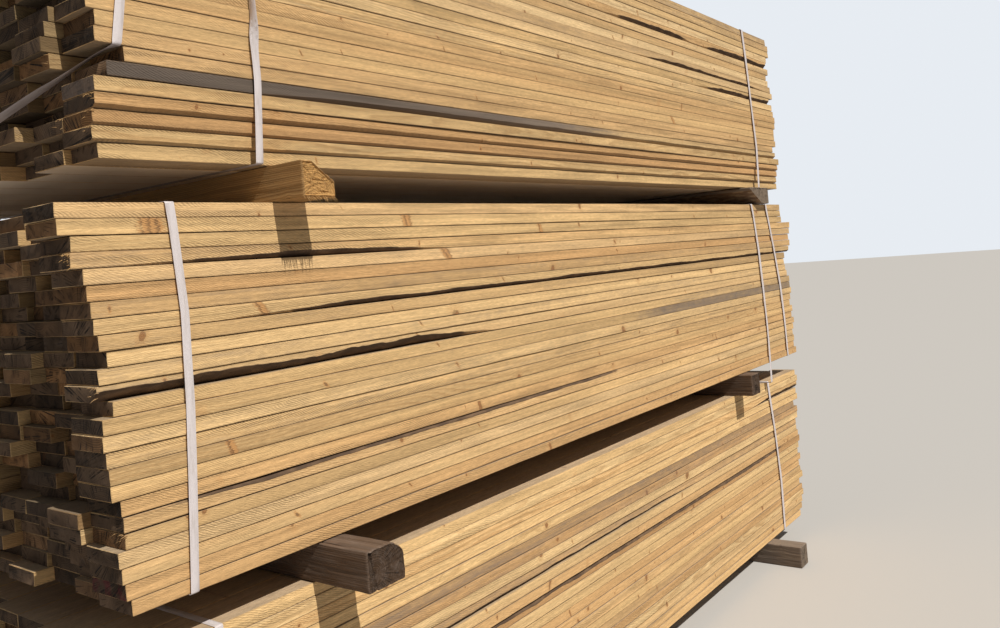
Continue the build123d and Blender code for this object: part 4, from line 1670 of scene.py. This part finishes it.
# %% Strap welds
weld_plastic, tree, shader = new_material("strap_weld")
across, along, _ = parts_of(tree, attribute(tree, "band"))
in_jaws = span(tree, calc(tree, "ABSOLUTE", minus(tree, along, 0.045)), 0.009, 0.011, 1.0, 0.0)
jaw_teeth = calc(tree, "SINE", times(tree, along, 2 * math.pi / 0.0016))
pressed = times(tree, in_jaws, span(tree, jaw_teeth, -0.3, 0.6))
smears = smears_of(tree, across, along, 30.0, 3.0)
colour = ramp(tree, smears, 0.42, 0.78, clean_plastic, (0.54, 0.46, 0.41, 1))
colour = cover(tree, colour, pressed, 0.35, (0.95, 0.93, 0.95, 1))
join(tree, colour, shader.inputs["Base Color"])
join(tree, span(tree, smears, 0.3, 0.8, 0.34, 0.6), shader.inputs["Roughness"])
relief(tree, shader, [(pressed, 0.0003, 1.0)])

welds = []
weld_points, weld_place, weld_length = 12, 0.62, 0.11
for name, (package, side_run, top_place, bottom_place, bow) in strap_runs.items():
    top, bottom = side_run[0][0] / 1000 + middle_bottom, side_run[-1][0] / 1000 + middle_bottom
    share = np.linspace(weld_place, weld_place - weld_length / (top - bottom), weld_points)
    height = bottom + share * (top - bottom)
    middle = near_end + (bottom_place + (top_place - bottom_place) * share) / 1000
    bulge = bulge_at(share, bow * back_bow)
    lift = 0.0009 + 0.004 * np.clip((np.arange(weld_points) - 8) / 3, 0, 1) ** 2
    middle += back_sway * np.sin(4 * (1 - share))
    path = np.column_stack([middle, side_face + strap_gap + bulge + lift, height])
    points, faces, slots, attributes = band_parts(path, np.zeros(weld_points), closed=False)
    welds.append((as_it_lies(points, package), faces, slots, attributes))
made = mesh_object("band_welds", welds, [weld_plastic], 60)
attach(made, "root")
print("welds:", len(welds))

# %% [markdown]
# The last strap has slipped. It comes down the strapped side, turns under the eighth row, where
# the seventh is set back, and runs tight across the board ends to the back. Its way is a short
# list of stations, each with the direction that the band's width has there: along the boards
# where it lies on the side, nearly edge-on to the camera where it leaves the eighth row, and
# upright against the ends further back. Lines between the stations would kink, so both are
# interpolated with a smooth curve. Where it runs across the ends it is darkened as painted shade.

# %% Slipped strap
slipped_top = 1332.7
eighth_row_under = 1.645

# Over the top and down the strapped side, under the eighth row, across the ends and up the back.
# Each station has its place along, inwards and up from the corner, in mm, and its width's way.
slipped_stations = [
    ((110, 509, slipped_top), (1, 0, 0)), ((110, 40, slipped_top), (1, 0, 0)),
    ((110, 1.6, 1332.6), (1, 0, 0)), ((109.8, -0.7, 1330.5), (1, 0, 0)), ((100, -1.2, 1270), (1, 0, -0.1)),
    ((78, -1.4, 1120), (1, 0, -0.1)), ((53, -1.2, 960), (1, 0, -0.1)), ((42, -0.8, 889), (1, 0, -0.1)),
    ((40, -0.7, 878), (1, 0.1, 0)), ((38.5, 3, 874.5), (1, 0.35, 0.1)),
    ((32, 30, 870.5), (0.86, 0.37, 0.33)), ((20, 62, 858.5), (0.86, 0.42, 0.29)),
    ((6, 103, 842), (0.91, 0.37, 0.16)), ((-13, 157, 822), (0.95, 0.26, -0.15)),
    ((-38, 226, 794), (0.96, 0.1, -0.26)), ((-41, 300, 784), (0.75, 0, -0.65)),
    ((-38, 400, 771), (0.35, -0.08, -0.94)), ((-35.8, 600, 747), (0, -0.12, -1)),
    ((-35.8, 1012, 698), (0, -0.12, -1)), ((-33, 1018.4, 698), (0.1, 0, -1)),
    ((-15, 1018.8, 711), (0.4, 0, -1)), ((43, 1018.8, 757), (0.8, 0, -0.5)),
    ((60, 1018.8, 900), (1, 0, -0.15)), ((109.9, 1018.8, 1329.5), (1, 0, -0.03)),
    ((110, 1016.5, 1332.6), (1, 0, 0)), ((110, 980, slipped_top), (1, 0, 0)),
]


def through(stations, steps):
    """A smooth closed curve through the stations, denser where they are close together."""
    spots = np.array([spot for spot, _ in stations], float)
    widths = np.array([width for _, width in stations], float)
    both = np.hstack([spots, widths / np.linalg.norm(widths, axis=1)[:, None]])
    before, after, beyond = np.roll(both, 1, 0), np.roll(both, -1, 0), np.roll(both, -2, 0)
    gaps = np.linalg.norm(after[:, :3] - spots, axis=1)
    line = []
    for k in range(len(both)):
        gap = gaps[k]
        slope_in = (after[k] - before[k]) / (gaps[k - 1] + gap) * gap
        slope_out = (beyond[k] - both[k]) / (gap + gaps[(k + 1) % len(both)]) * gap
        for t in np.linspace(0, 1, steps, endpoint=False):
            line.append(
                (2 * t**3 - 3 * t**2 + 1) * both[k] + (t**3 - 2 * t**2 + t) * slope_in
                + (3 * t**2 - 2 * t**3) * after[k] + (t**3 - t**2) * slope_out
            )
    line = np.array(line)
    return line[:, :3], line[:, 3:]


slipped_path, slipped_widths = through(slipped_stations, 6)
slipped_path[:, 2] = np.minimum(slipped_path[:, 2], slipped_top)
slipped_path = slipped_path / 1000 + np.array([near_end, -side_face, middle_bottom])
slipped_widths /= np.linalg.norm(slipped_widths, axis=1)[:, None]
between_sides = np.abs(slipped_path[:, 1]) < side_face - 0.001
# Where it runs across the board ends the band gets painted shade.
across_ends = (slipped_path[:, 2] < eighth_row_under) & between_sides
add_band(
    "top_package_strap_slipped", "top", slipped_path, np.zeros(len(slipped_path)),
    across_ends.astype(float), slipped_widths,
)
steps = np.linalg.norm(np.diff(slipped_path, axis=0), axis=1)
print("slipped strap, length round:", round(float(steps.sum()), 3))
